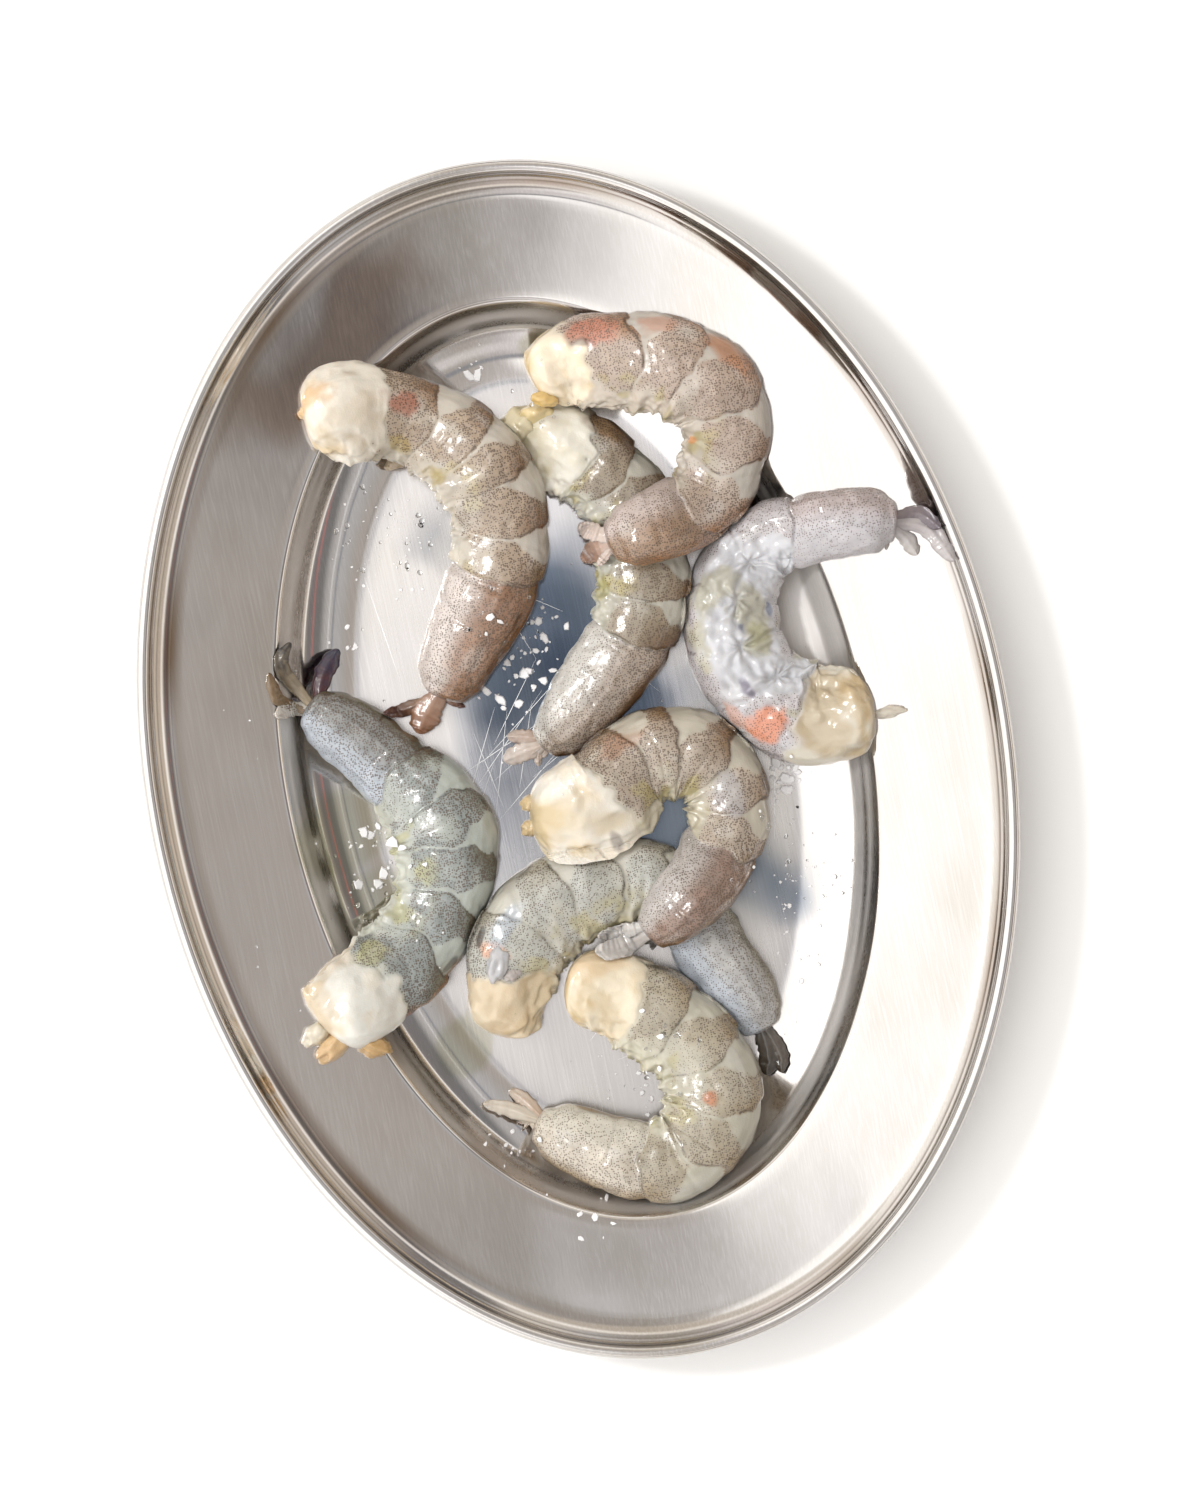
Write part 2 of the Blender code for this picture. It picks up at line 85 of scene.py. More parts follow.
def bell(offset: np.ndarray, reach: float) -> np.ndarray:
    """Return 1 at no offset, falling off like a bell over the reach."""
    return np.exp(-(offset / reach) ** 2)


class Noise:
    """Smooth random values in space, from a lattice of seeded numbers."""

    def __init__(self, seed: int, size: int = 32) -> None:
        self.size = size
        self.lattice = np.random.default_rng(seed).uniform(-1, 1, (size, size, size))

    def at(self, points: np.ndarray, pitch: float) -> np.ndarray:
        """Return values from -1 to 1.

        Args:
            points: places, with the coordinate as the last axis.
            pitch: distance between the lattice's numbers.

        Returns:
            One value for each place, eased between the eight nearest numbers.
        """
        cell = points / pitch
        base = np.floor(cell).astype(int)
        part = cell - base
        part = part * part * (3 - 2 * part)
        total = np.zeros(points.shape[:-1])
        for corner in np.ndindex(2, 2, 2):
            weight = np.prod(np.where(corner, part, 1 - part), axis=-1)
            index = (base + corner) % self.size
            total += weight * self.lattice[index[..., 0], index[..., 1], index[..., 2]]
        return total

    def layered(self, points: np.ndarray, pitch: float, layers: int = 3) -> np.ndarray:
        """Return several noises, each half as large and as strong as the last."""
        steps = range(layers)
        return sum(self.at(points + 17.3 * step, pitch / 2 ** step) / 2 ** step for step in steps)


@dataclass
class MeshParts:
    """Points, faces and point values that are gathered into one mesh.

    Each point has a tint, its linear colour, and a speck: how strong the dark
    specks are in flesh, or how smooth the steel still is.
    """

    points: list = field(default_factory=list)
    faces: list = field(default_factory=list)
    tints: list = field(default_factory=list)
    specks: list = field(default_factory=list)
    count: int = 0

    def add(self, points: np.ndarray, faces: np.ndarray, tint: np.ndarray, speck: np.ndarray) -> None:
        """Add one closed surface.

        Args:
            points: places in millimetres, one row each.
            faces: corner numbers, four to a row; a triangle repeats its last.
            tint: tint of each point, or one for all.
            speck: speck of each point, or one for all.
        """
        self.points.append(points)
        self.faces.append(faces + self.count)
        self.tints.append(np.broadcast_to(tint, (len(points), 3)))
        self.specks.append(np.broadcast_to(speck, len(points)))
        self.count += len(points)

    def add_tube(self, rings: np.ndarray, first: np.ndarray, last: np.ndarray,
                 tint: np.ndarray, speck: np.ndarray) -> None:
        """Add a tube through rings that ends in two points."""
        count, sides = rings.shape[:2]
        ring, side = np.meshgrid(np.arange(count - 1), np.arange(sides), indexing="ij")
        near = ring * sides + side
        beside = ring * sides + (side + 1) % sides
        walls = np.stack([near, beside, beside + sides, near + sides], axis=-1).reshape(-1, 4)
        around = np.arange(sides)
        turned = (around + 1) % sides
        head = np.full(sides, count * sides)
        front = np.stack([head, turned, around, around], axis=-1)
        tail_ring = (count - 1) * sides
        back = np.stack([head + 1, tail_ring + around, tail_ring + turned, tail_ring + turned], axis=-1)
        points = np.vstack([rings.reshape(-1, 3), first, last])
        tint = np.broadcast_to(tint, (count, sides, 3))
        speck = np.broadcast_to(speck, (count, sides))
        ends = [tint[0].mean(axis=0), tint[-1].mean(axis=0)]
        flat_tint = np.vstack([tint.reshape(-1, 3), *ends])
        flat_speck = np.concatenate([speck.ravel(), [speck[0].mean(), speck[-1].mean()]])
        self.add(points, np.vstack([walls, front, back]), flat_tint, flat_speck)

    def build(self, name: str, material: bpy.types.Material) -> bpy.types.Object:
        """Return the gathered surfaces as one smooth object in the scene."""
        points = np.vstack(self.points) * METRE
        faces = np.vstack(self.faces)
        is_quad = faces[:, 2] != faces[:, 3]
        totals = np.where(is_quad, 4, 3)
        corners = faces.ravel()[np.repeat(is_quad, 4) | np.tile([True, True, True, False], len(faces))]
        mesh = bpy.data.meshes.new(name)
        mesh.vertices.add(len(points))
        mesh.vertices.foreach_set("co", points.ravel())
        mesh.loops.add(len(corners))
        mesh.loops.foreach_set("vertex_index", corners.astype(np.int32))
        mesh.polygons.add(len(faces))
        starts = np.concatenate([[0], np.cumsum(totals)[:-1]])
        mesh.polygons.foreach_set("loop_start", starts.astype(np.int32))
        mesh.polygons.foreach_set("use_smooth", np.ones(len(faces), dtype=bool))
        tint = mesh.attributes.new("tint", "FLOAT_COLOR", "POINT")
        tinted = np.column_stack([np.vstack(self.tints), np.ones(len(points))])
        tint.data.foreach_set("color", tinted.ravel())
        speck = mesh.attributes.new("speck", "FLOAT", "POINT")
        speck.data.foreach_set("value", np.concatenate(self.specks))
        mesh.update(calc_edges=True)
        mesh.validate()
        mesh.materials.append(material)
        item = bpy.data.objects.new(name, mesh)
        bpy.context.scene.collection.objects.link(item)
        return item


class NodeTree:
    """Shader nodes, added and joined by short calls."""

    def __init__(self, tree: bpy.types.NodeTree) -> None:
        self.tree = tree

    def node(self, kind: str, **values: object) -> bpy.types.Node:
        """Return a new node, its properties and inputs set by name."""
        made = self.tree.nodes.new(kind)
        for name, value in values.items():
            plain = name.replace("_", " ").title()
            if hasattr(made, name):
                setattr(made, name, value)
            else:
                made.inputs[plain].default_value = value
        return made

    def join(self, start: bpy.types.NodeSocket, *ends: bpy.types.NodeSocket) -> None:
        """Link an output to inputs."""
        for end in ends:
            self.tree.links.new(start, end)

    def math(self, operation: str, first: object, second: object = 0.0,
             clamp: bool = False) -> bpy.types.NodeSocket:
        """Return the result of one sum on sockets or numbers."""
        made = self.node("ShaderNodeMath", operation=operation, use_clamp=clamp)
        for slot, value in enumerate((first, second)):
            if isinstance(value, bpy.types.NodeSocket):
                self.join(value, made.inputs[slot])
            else:
                made.inputs[slot].default_value = value
        return made.outputs[0]

    def blend(self, share: object, first: object, second: object, kind: str = "MIX") -> bpy.types.NodeSocket:
        """Return two colours blended by a share."""
        made = self.node("ShaderNodeMix", data_type="RGBA", blend_type=kind)
        for slot, value in ((0, share), (6, first), (7, second)):
            if isinstance(value, bpy.types.NodeSocket):
                self.join(value, made.inputs[slot])
            elif slot:
                made.inputs[slot].default_value = (*value, 1.0)
            else:
                made.inputs[slot].default_value = value
        return made.outputs[2]

    def within(self, value: bpy.types.NodeSocket, reach: float, soft: float) -> bpy.types.NodeSocket:
        """Return 1 where a value is nearer to 0 than the reach, eased to 0 over a soft edge."""
        edge = self.node("ShaderNodeMapRange", interpolation_type="SMOOTHSTEP",
                         from_min=reach + soft, from_max=reach - soft)
        self.join(self.math("ABSOLUTE", value), edge.inputs["Value"])
        return edge.outputs[0]


class NodeGraph(NodeTree):
    """A material's nodes, round its Principled shader."""

    def __init__(self, name: str) -> None:
        self.material = bpy.data.materials.new(name)
        self.material.use_nodes = True
        super().__init__(self.material.node_tree)
        self.shader = self.tree.nodes["Principled BSDF"]

    def constants(self, **values: object) -> None:
        """Set the Principled shader's inputs to constants."""
        for name, value in values.items():
            self.shader.inputs[name.replace("_", " ").title().replace("Ior", "IOR")].default_value = value

    def place(self, stretch: tuple = (1.0, 1.0, 1.0), turn: float = 0.0) -> bpy.types.NodeSocket:
        """Return object coordinates in millimetres, turned and stretched."""
        coordinates = self.node("ShaderNodeTexCoord")
        mapping = self.node("ShaderNodeMapping")
        mapping.inputs["Rotation"].default_value = (0, 0, turn)
        mapping.inputs["Scale"].default_value = tuple(factor / METRE for factor in stretch)
        self.join(coordinates.outputs["Object"], mapping.inputs["Vector"])
        return mapping.outputs[0]

    def bump(self, height: bpy.types.NodeSocket, depth: float, slot: str = "Normal") -> None:
        """Give the shader, or its coat, a bump of a depth in millimetres."""
        made = self.node("ShaderNodeBump", distance=depth * METRE, strength=1.0)
        self.join(height, made.inputs["Height"])
        self.join(made.outputs[0], self.shader.inputs[slot])


@dataclass(frozen=True)
class FleshFinish:
    """Wet raw flesh: tinted by attributes, with dark dots where it is pigmented."""

    dot_pitch: float = 0.56
    dot_color: tuple = (80, 62, 48)
    dot_edge: float = 6.0
    dot_strength: float = 0.80
    wrinkle: float = 0.13
    gloss_ripple: float = 0.55
    pit: float = 0.035

    def build(self) -> bpy.types.Material:
        """Return the material shared by all shrimps."""
        graph = NodeGraph("wet_flesh")
        place = graph.place()
        tint = graph.node("ShaderNodeAttribute", attribute_name="tint").outputs["Color"]
        speck = graph.node("ShaderNodeAttribute", attribute_name="speck").outputs["Fac"]
        cells = graph.node("ShaderNodeTexVoronoi", scale=1 / self.dot_pitch, randomness=0.65)
        graph.join(place, cells.inputs["Vector"])
        patchy = graph.node("ShaderNodeTexNoise", scale=0.35, detail=3.0)
        graph.join(place, patchy.inputs["Vector"])
        spread = graph.math("ADD", graph.math("MULTIPLY", patchy.outputs["Fac"], 0.24), 0.38)
        reach = graph.math("MULTIPLY", speck, spread)
        depth = graph.math("SUBTRACT", reach, cells.outputs["Distance"])
        dot = graph.math("MULTIPLY", depth, self.dot_edge, clamp=True)
        share = graph.math("MULTIPLY", dot, self.dot_strength)
        dark = graph.blend(share, tint, tuple(linear(*self.dot_color)))
        graph.join(dark, graph.shader.inputs["Base Color"])
        fine = graph.node("ShaderNodeTexNoise", scale=0.8, detail=5.0, roughness=0.62)
        graph.join(place, fine.inputs["Vector"])
        pits = graph.math("MULTIPLY", cells.outputs["Distance"], self.pit / self.wrinkle)
        rough = graph.math("ADD", graph.math("MULTIPLY", speck, 0.55), 0.45)
        graph.bump(graph.math("ADD", graph.math("MULTIPLY", fine.outputs["Fac"], rough), pits), self.wrinkle)
        graph.bump(fine.outputs["Fac"], self.gloss_ripple * self.wrinkle, "Coat Normal")
        graph.constants(roughness=0.30, ior=1.38, coat_weight=1.0, coat_roughness=0.07,
                        subsurface_weight=0.22, subsurface_scale=0.0012)
        graph.shader.inputs["Subsurface Radius"].default_value = (1.0, 0.7, 0.5)
        return graph.material


@dataclass(frozen=True)
class SteelFinish:
    """Worn stainless steel: brushed lengthways, smeared, stained and scratched."""

    color: tuple = (206, 202, 200)
    stain: tuple = (188, 183, 174)
    streak: tuple = (226, 224, 224)
    brushing: float = 0.0014

    def build(self) -> bpy.types.Material:
        """Return the platter's material.

        The tint attribute colours it where it is wet and where reflections are
        painted, and the speck attribute is how smooth it still is: worn and dull
        at 0, bright at 1, and scuffed to a pale grey film below 0.
        """
        graph = NodeGraph("worn_steel")
        tint = graph.node("ShaderNodeAttribute", attribute_name="tint").outputs["Color"]
        polish = graph.node("ShaderNodeAttribute", attribute_name="speck").outputs["Fac"]
        smear = graph.node("ShaderNodeTexNoise", scale=0.035, detail=6.0)
        graph.join(graph.place((1.0, 0.55, 1.0), 0.3), smear.inputs["Vector"])
        stain = graph.math("MULTIPLY", graph.math("SUBTRACT", smear.outputs["Fac"], 0.45), 2.2, clamp=True)
        color = graph.blend(stain, tuple(linear(*self.color)), tuple(linear(*self.stain)))
        grain = graph.node("ShaderNodeTexNoise", scale=1.0, detail=4.0)
        graph.join(graph.place((2.6, 0.045, 2.6)), grain.inputs["Vector"])
        streak = graph.math("MULTIPLY", graph.math("SUBTRACT", grain.outputs["Fac"], 0.45), 1.15, clamp=True)
        color = graph.blend(streak, color, tuple(linear(*self.streak)))
        # the tint brings the juice's colour and the painted reflections into the steel's colour
        wet = graph.blend(1.0, color, tint, "MULTIPLY")
        graph.join(wet, graph.shader.inputs["Base Color"])
        worn = graph.math("ADD", graph.math("MULTIPLY", grain.outputs["Fac"], 0.14),
                          graph.math("MULTIPLY", smear.outputs["Fac"], 0.20))
        worn = graph.math("ADD", worn, 0.10)
        bright = graph.math("SUBTRACT", 1.0, graph.math("MULTIPLY", polish, 0.72))
        graph.join(graph.math("MULTIPLY", worn, bright), graph.shader.inputs["Roughness"])
        film = graph.math("MULTIPLY", graph.math("MINIMUM", polish, 0.0), 0.75)
        graph.join(graph.math("ADD", film, 1.0, clamp=True), graph.shader.inputs["Metallic"])
        graph.bump(grain.outputs["Fac"], self.brushing)
        return graph.material


class ClearKind(Enum):
    """The clear things on the platter: name, colour, roughness, index and clearness."""

    SALT = ("salt_crystal", (0.90, 0.89, 0.90), 0.35, 1.50, 0.0)
    WATER = ("water", (0.98, 0.99, 1.0), 0.02, 1.33, 1.0)


def clear_material(kind: ClearKind) -> bpy.types.Material:
    """Return the material of salt or water."""
    name, color, roughness, index, clearness = kind.value
    graph = NodeGraph(name)
    graph.constants(base_color=(*color, 1.0), roughness=roughness, ior=index,
                    transmission_weight=clearness)
    return graph.material


def plain_material(name: str, color: tuple, roughness: float, metallic: float) -> bpy.types.Material:
    """Return a material of one display colour."""
    graph = NodeGraph(name)
    graph.constants(base_color=(*linear(*color), 1.0), roughness=roughness, metallic=metallic)
    return graph.material


@dataclass(frozen=True)
class Platter:
    """The oval platter. An inset is measured inward from the rim's outer edge.

    The bowl, the wall's foot and the lip are bends: a radius and the slope in
    degrees that it turns to. The counts are of points in each stretch of the
    section, from the bowl to the lip. The bead's arc runs between two angles
    in degrees, with a count of points.
    """

    half_width: float = 107.2
    half_length: float = 150.0
    sheet: float = 0.8
    bead_radius: float = 1.66
    bead_inset: float = 1.75
    bead_height: float = 20.27
    bead_arc: tuple = (-15, 300, 26)
    lip_foot: float = 9.6
    well_edge: float = 33.2
    base_inset: float = 55.0
    flange_slope: float = 6.0
    bowl: tuple = (30.0, 28.0)
    wall: tuple = (4.0, 58.728)
    edge_radius: float = 2.5
    lip: tuple = (7.6, 50.0)
    counts: tuple = (20, 8, 5, 10, 14, 12)
    base_rings: int = 20
    sides: int = 480
    dent_seed: int = 71
    wear_seed: int = 83
    film_seed: int = 29

    def upper_line(self) -> tuple:
        """Return insets and heights of the sheet's upper side, base first.

        The line is the bowl's wide arc, a tight arc up to the steep wall, the
        wall, the edge's arc, the flange and the lip's arc, each tangent to
        the next. An arc of radius r from slope a to slope b lies r (sin b -
        sin a) inward and r (cos a - cos b) up.
        """
        flange = self.flange_slope
        turned = math.sin(math.radians(self.wall[1])) - math.sin(math.radians(flange))
        edge_start = self.well_edge + self.edge_radius * turned
        bowl, foot, wall, edge, slope, lip = self.counts
        line = np.array([[self.base_inset, self.sheet]])
        line = self.bend(line, self.bowl[0], 0.0, self.bowl[1], bowl)
        line = self.bend(line, self.wall[0], self.bowl[1], self.wall[1], foot)
        line = self.run(line, edge_start, self.wall[1], wall)
        line = self.bend(line, self.edge_radius, self.wall[1], flange, edge)
        line = self.run(line, self.lip_foot, flange, slope)
        return tuple(self.bend(line, self.lip[0], flange, self.lip[1], lip).T)

    def bend(self, line: np.ndarray, radius: float, slope: float, last: float, count: int) -> np.ndarray:
        """Return the line with an arc of count points added, between two slopes in degrees."""
        angles = np.radians(np.linspace(slope, last, count + 1))
        step = math.copysign(radius, last - slope)
        inward = line[-1, 0] - step * (np.sin(angles[1:]) - np.sin(angles[0]))
        upward = line[-1, 1] + step * (np.cos(angles[0]) - np.cos(angles[1:]))
        return np.vstack([line, np.column_stack([inward, upward])])

    def run(self, line: np.ndarray, inset: float, slope: float, count: int) -> np.ndarray:
        """Return the line with a straight part of count points added, as far as an inset."""
        inward = np.linspace(line[-1, 0], inset, count + 1)[1:]
        upward = line[-1, 1] + (line[-1, 0] - inward) * math.tan(math.radians(slope))
        return np.vstack([line, np.column_stack([inward, upward])])

    def whole_line(self) -> tuple:
        """Return the sheet's section from base top, over the bead, to base underside."""
        inset, height = self.upper_line()
        along = np.gradient(inset)
        rise = np.gradient(height)
        length = np.hypot(along, rise)
        low_inset = inset - self.sheet * rise / length
        low_height = height + self.sheet * along / length
        low_height[0] = 0.0
        low_inset[0] = inset[0]
        bead = np.radians(np.linspace(*self.bead_arc))
        bead_inset = self.bead_inset + self.bead_radius * np.cos(bead)
        bead_height = self.bead_height + self.bead_radius * np.sin(bead)
        return (np.concatenate([inset, bead_inset, low_inset[::-1]]),
                np.concatenate([height, bead_height, low_height[::-1]]))

    def inset_at(self, x: np.ndarray, y: np.ndarray) -> np.ndarray:
        """Return how far inward each place lies, by halving the search 24 times.

        A place is outside the oval of inset e where (x / (half width - e))^2 +
        (y / (half length - e))^2 is over 1.
        """
        low = np.zeros(np.shape(x))
        high = np.full(np.shape(x), self.half_width - 0.5)
        for _ in range(24):
            middle = (low + high) / 2
            reach = (x / (self.half_width - middle)) ** 2 + (y / (self.half_length - middle)) ** 2
            outside = reach > 1
            high = np.where(outside, middle, high)
            low = np.where(outside, low, middle)
        return low

    def height_at(self, x: np.ndarray, y: np.ndarray) -> np.ndarray:
        """Return the height of the platter's upper side at places."""
        inset, height = self.upper_line()
        order = np.argsort(inset)
        found = self.inset_at(x, y)
        return np.interp(found, inset[order], height[order])

    def dent(self, x: np.ndarray, y: np.ndarray, noise: Noise) -> np.ndarray:
        """Return the slight unevenness of the pressed sheet."""
        places = np.stack([x, y, np.zeros_like(x)], axis=-1)
        return 0.10 * noise.at(places, 34.0) + 0.03 * noise.at(places, 12.0)

    def build(self, material: bpy.types.Material, wet: "WetAndPaintedReflections") -> bpy.types.Object:
        """Return the platter: rings of shrinking ovals along the section.

        A point at turn t and inset e lies at x = (half width - e) cos t,
        y = (half length - e) sin t. The flat base's rings shrink to a point.
        """
        inset, height = self.whole_line()
        shrink = np.linspace(0.02, 1, self.base_rings, endpoint=False)
        halves = []
        for half in (self.half_width, self.half_length):
            base = (half - self.base_inset) * shrink
            halves.append(np.concatenate([base, half - inset, base[::-1]]))
        top, underside = np.full(self.base_rings, self.sheet), np.zeros(self.base_rings)
        heights = np.concatenate([top, height, underside])
        turn = np.linspace(0, 2 * math.pi, self.sides, endpoint=False)
        x = halves[0][:, None] * np.cos(turn)
        y = halves[1][:, None] * np.sin(turn)
        found = self.inset_at(x, y)
        inward = smoothstep(3.5, 12, found)
        uneven = self.dent(x, y, Noise(self.dent_seed)) * inward
        rings = np.stack([x, y, np.maximum(heights[:, None] + uneven, 0)], axis=-1)
        parts = MeshParts()
        # the tint holds the juice pools and the painted reflections
        tint = wet.tint(self, x, y)
        parts.add_tube(rings, [0, 0, rings[0, :, 2].mean()], [0, 0, 0], tint, self.polish(x, y))
        return parts.build("steel_platter", material)

    def polish(self, x: np.ndarray, y: np.ndarray) -> np.ndarray:
        """Return how bright the steel still is: most on curves, least on the base, below 0 under a film."""
        inset = self.inset_at(x, y)
        places = np.stack([x, y, np.zeros_like(x)], axis=-1)
        curve = smoothstep(self.base_inset + 3, self.base_inset - 5, inset)
        curve *= 1 - smoothstep(self.well_edge - 1, self.well_edge - 5, inset)
        curve += 0.70 * smoothstep(self.lip_foot + 3, self.lip_foot - 2, inset)
        flange = 0.80 * smoothstep(self.well_edge + 1, self.well_edge - 4, inset)
        worn = Noise(self.wear_seed).layered(places, 30.0)
        middle = np.hypot((x + 4 - 0.15 * y) / 34, (y - 6) / 62)
        bare = smoothstep(1.15, 0.65, middle + 0.35 * worn)
        shine = np.maximum(curve, 0.9 * bare * (inset > self.base_inset))
        return np.clip(np.maximum(shine, flange) + 0.10 * worn, 0, 1) - 1.7 * self.film(inset, x, y)

    def film(self, inset: np.ndarray, x: np.ndarray, y: np.ndarray) -> np.ndarray:
        """Return how thickly a dried film dulls the steep wall, and a patch of the bowl at the right.

        On the wall it is in streaks that follow the rim: on the right thickest
        at the wall's foot, on the left at its upper edge.
        """
        depth = (inset - self.well_edge - 0.9) / 6.6
        wall = smoothstep(0.0, 0.2, depth) * smoothstep(1.15, 0.85, depth)
        places = np.stack([1.3 * inset, 0.025 * x, 0.025 * y], axis=-1)
        streaks = 0.30 * Noise(self.film_seed).at(places, 1.0)
        leaning = 0.30 * np.clip(x / 45, -1, 1) * (2 * depth - 1)
        wall = wall * np.clip(0.70 + leaning + streaks, 0.15, 1)
        patch = smoothstep(1.1, 0.5, np.hypot((x - 63) / 15, (y - 23) / 26))
        return np.maximum(wall, 0.95 * patch * (inset > self.well_edge + 2))


@dataclass(frozen=True)
class WetAndPaintedReflections:
    """Where the steel is tinted: by pools of thin juice, and by painted reflections.

    The painted reflections are a blue-grey patch in the middle of the base,
    dark streaks on the flange at the upper left, a brown line in the lip and
    brown patches at the well's edge, a darker flange, most at its ends, and a
    brighter base. A pool is its centre x, y and its radius. The streaks'
    darkening is the share of each linear colour that they take away.
    """

    pools: tuple = ((-60, -4, 15), (-57, -24, 12), (-42, -66, 8), (12, 103, 8))
    color: tuple = (226, 226, 208)
    painted_reflection_blue: tuple = (126, 144, 164)
    painted_reflection_brown: tuple = (158, 130, 100)
    painted_streak_darkening: tuple = (0.34, 0.43, 0.50)
    seed: int = 5

    def tint(self, platter: Platter, x: np.ndarray, y: np.ndarray) -> np.ndarray:
        """Return the share of each colour that the steel keeps: less where wet and where dark reflections
        are painted, more on the base, where a brighter reflection is painted, and on the wall's film.
        """
        noise = Noise(self.seed)
        places = np.stack([x, y, np.zeros_like(x)], axis=-1)
        wobble = 0.35 * noise.layered(places, 14.0)
        share = np.zeros_like(x)
        for pool_x, pool_y, radius in self.pools:
            near = 1 - np.hypot(x - pool_x, y - pool_y) / radius + wobble
            share = np.maximum(share, smoothstep(0.0, 0.35, near))
        wet = mix(np.ones(3), linear(*self.color), 0.8 * share)
        # painted reflection: a darker blue-grey patch in the middle of the base, where the dark zenith is
        # mirrored
        middle = np.hypot((x - 9 + 0.25 * (y - 10)) / 33, (y - 8) / 56)
        shade = 0.9 * smoothstep(1.15, 0.45, middle + 0.5 * noise.layered(places, 22.0))
        inset = platter.inset_at(x, y)
        flange = smoothstep(platter.well_edge + 2, platter.well_edge - 3, inset) * smoothstep(5, 11, inset)
        base = smoothstep(platter.base_inset - 6, platter.base_inset + 4, inset)
        # painted reflection: dark streaks on the flange at the upper left
        along = (x * 0.80 + y * 0.60 - 38 + 9 * noise.at(places, 20.0)) / 34
        across = (y * 0.80 - x * 0.60 - 115 + 9 * noise.at(places + 9, 11.0)) / 14
        painted_dark_streaks = smoothstep(1.25, 0.5, np.hypot(along, across)) * flange
        # painted reflection: the flange a little darker, most at its two ends, and the base brighter, more
        # so towards +Y, outside the blue-grey patch; the wall's film is paler
        top = 0.24 * smoothstep(80, 122, y) * smoothstep(62, 25, x)
        bottom = 0.20 * smoothstep(-80, -120, y) * smoothstep(60, 10, x)
        painted_reflection_and_film_gain = 1 - (0.04 + top + bottom) * flange + (0.09 + 0.0016 * y) * base * (1 - shade)
        painted_reflection_and_film_gain += 0.16 * platter.film(inset, x, y)
        wet = wet * (1 - painted_dark_streaks[..., None] * np.array(self.painted_streak_darkening))
        # painted reflection: a dark brown line in the lip and brown patches at the well's edge
        wet = wet * mix(np.ones(3), linear(*self.painted_reflection_brown), self.painted_brown_reflection(platter, inset, places, noise))
        return wet * mix(np.ones(3), linear(*self.painted_reflection_blue), shade) * painted_reflection_and_film_gain[..., None]

    def painted_brown_reflection(self, platter: Platter, inset: np.ndarray, places: np.ndarray,
                noise: Noise) -> np.ndarray:
        """Return the share of the painted brown reflection: a dark line in the lip, and patches at the
        well's edge.

        The line lies low in the lip on the left and higher elsewhere.
        """
        x, y = places[..., 0], places[..., 1]
        left = smoothstep(0.3, -0.7, x / platter.half_width)
        line = bell(inset - 5.0 - 3.2 * left, 1.2 + 0.7 * left) * (0.64 + 0.15 * left)
        line *= 0.75 + 0.5 * noise.at(places, 24.0)
        edge = bell(inset - platter.well_edge - 2.6, 2.0)
        where = smoothstep(90, 106, y) + smoothstep(-40, -58, y) * smoothstep(-25, -42, x)
        patches = 0.45 * edge * where * smoothstep(-0.5, 0.3, noise.at(places + 40, 15.0))
        return np.clip(np.maximum(line, patches), 0, 1)


class Ground:
    """A height map of the platter and of what was laid on it so far.

    bare is the platter alone, top is the platter with all that was laid on it,
    and height is the top with a steep skirt round each thing, for what drapes
    over it.
    """

    cell = 0.5
    drape_slope = 3.0
    drape_cells = 6

    def __init__(self, platter: Platter) -> None:
        self.x = np.arange(-platter.half_width - 3, platter.half_width + 3, self.cell)
        self.y = np.arange(-platter.half_length - 3, platter.half_length + 3, self.cell)
        grid_x, grid_y = np.meshgrid(self.x, self.y, indexing="ij")
        self.bare = platter.height_at(grid_x, grid_y)
        self.height = self.bare.copy()
        self.top = self.bare.copy()

    def cells(self, x: np.ndarray, y: np.ndarray) -> tuple:
        """Return the cell numbers of places."""
        column = np.clip(np.rint((x - self.x[0]) / self.cell), 0, len(self.x) - 1).astype(int)
        row = np.clip(np.rint((y - self.y[0]) / self.cell), 0, len(self.y) - 1).astype(int)
        return column, row

    def under(self, x: np.ndarray, y: np.ndarray) -> np.ndarray:
        """Return the draped height of whatever lies at places."""
        return self.height[self.cells(x, y)]

    def lay(self, points: np.ndarray) -> None:
        """Raise the map to laid points, with a steep skirt round them."""
        cells = self.cells(points[..., 0], points[..., 1])
        np.maximum.at(self.top, cells, points[..., 2])
        np.maximum.at(self.height, cells, points[..., 2])
        for _ in range(self.drape_cells):
            lower = self.height - self.drape_slope * self.cell
            for axis in (0, 1):
                for step in (-1, 1):
                    self.height = np.maximum(self.height, np.roll(lower, step, axis))

    def slope(self, x: np.ndarray, y: np.ndarray) -> tuple:
        """Return the rise of the top surface along X and Y at places."""
        column, row = self.cells(x, y)
        column = np.clip(column, 2, len(self.x) - 3)
        row = np.clip(row, 2, len(self.y) - 3)
        rise_x = (self.top[column + 2, row] - self.top[column - 2, row]) / (4 * self.cell)
        rise_y = (self.top[column, row + 2] - self.top[column, row - 2]) / (4 * self.cell)
        return np.clip(rise_x, -1.5, 1.5), np.clip(rise_y, -1.5, 1.5)


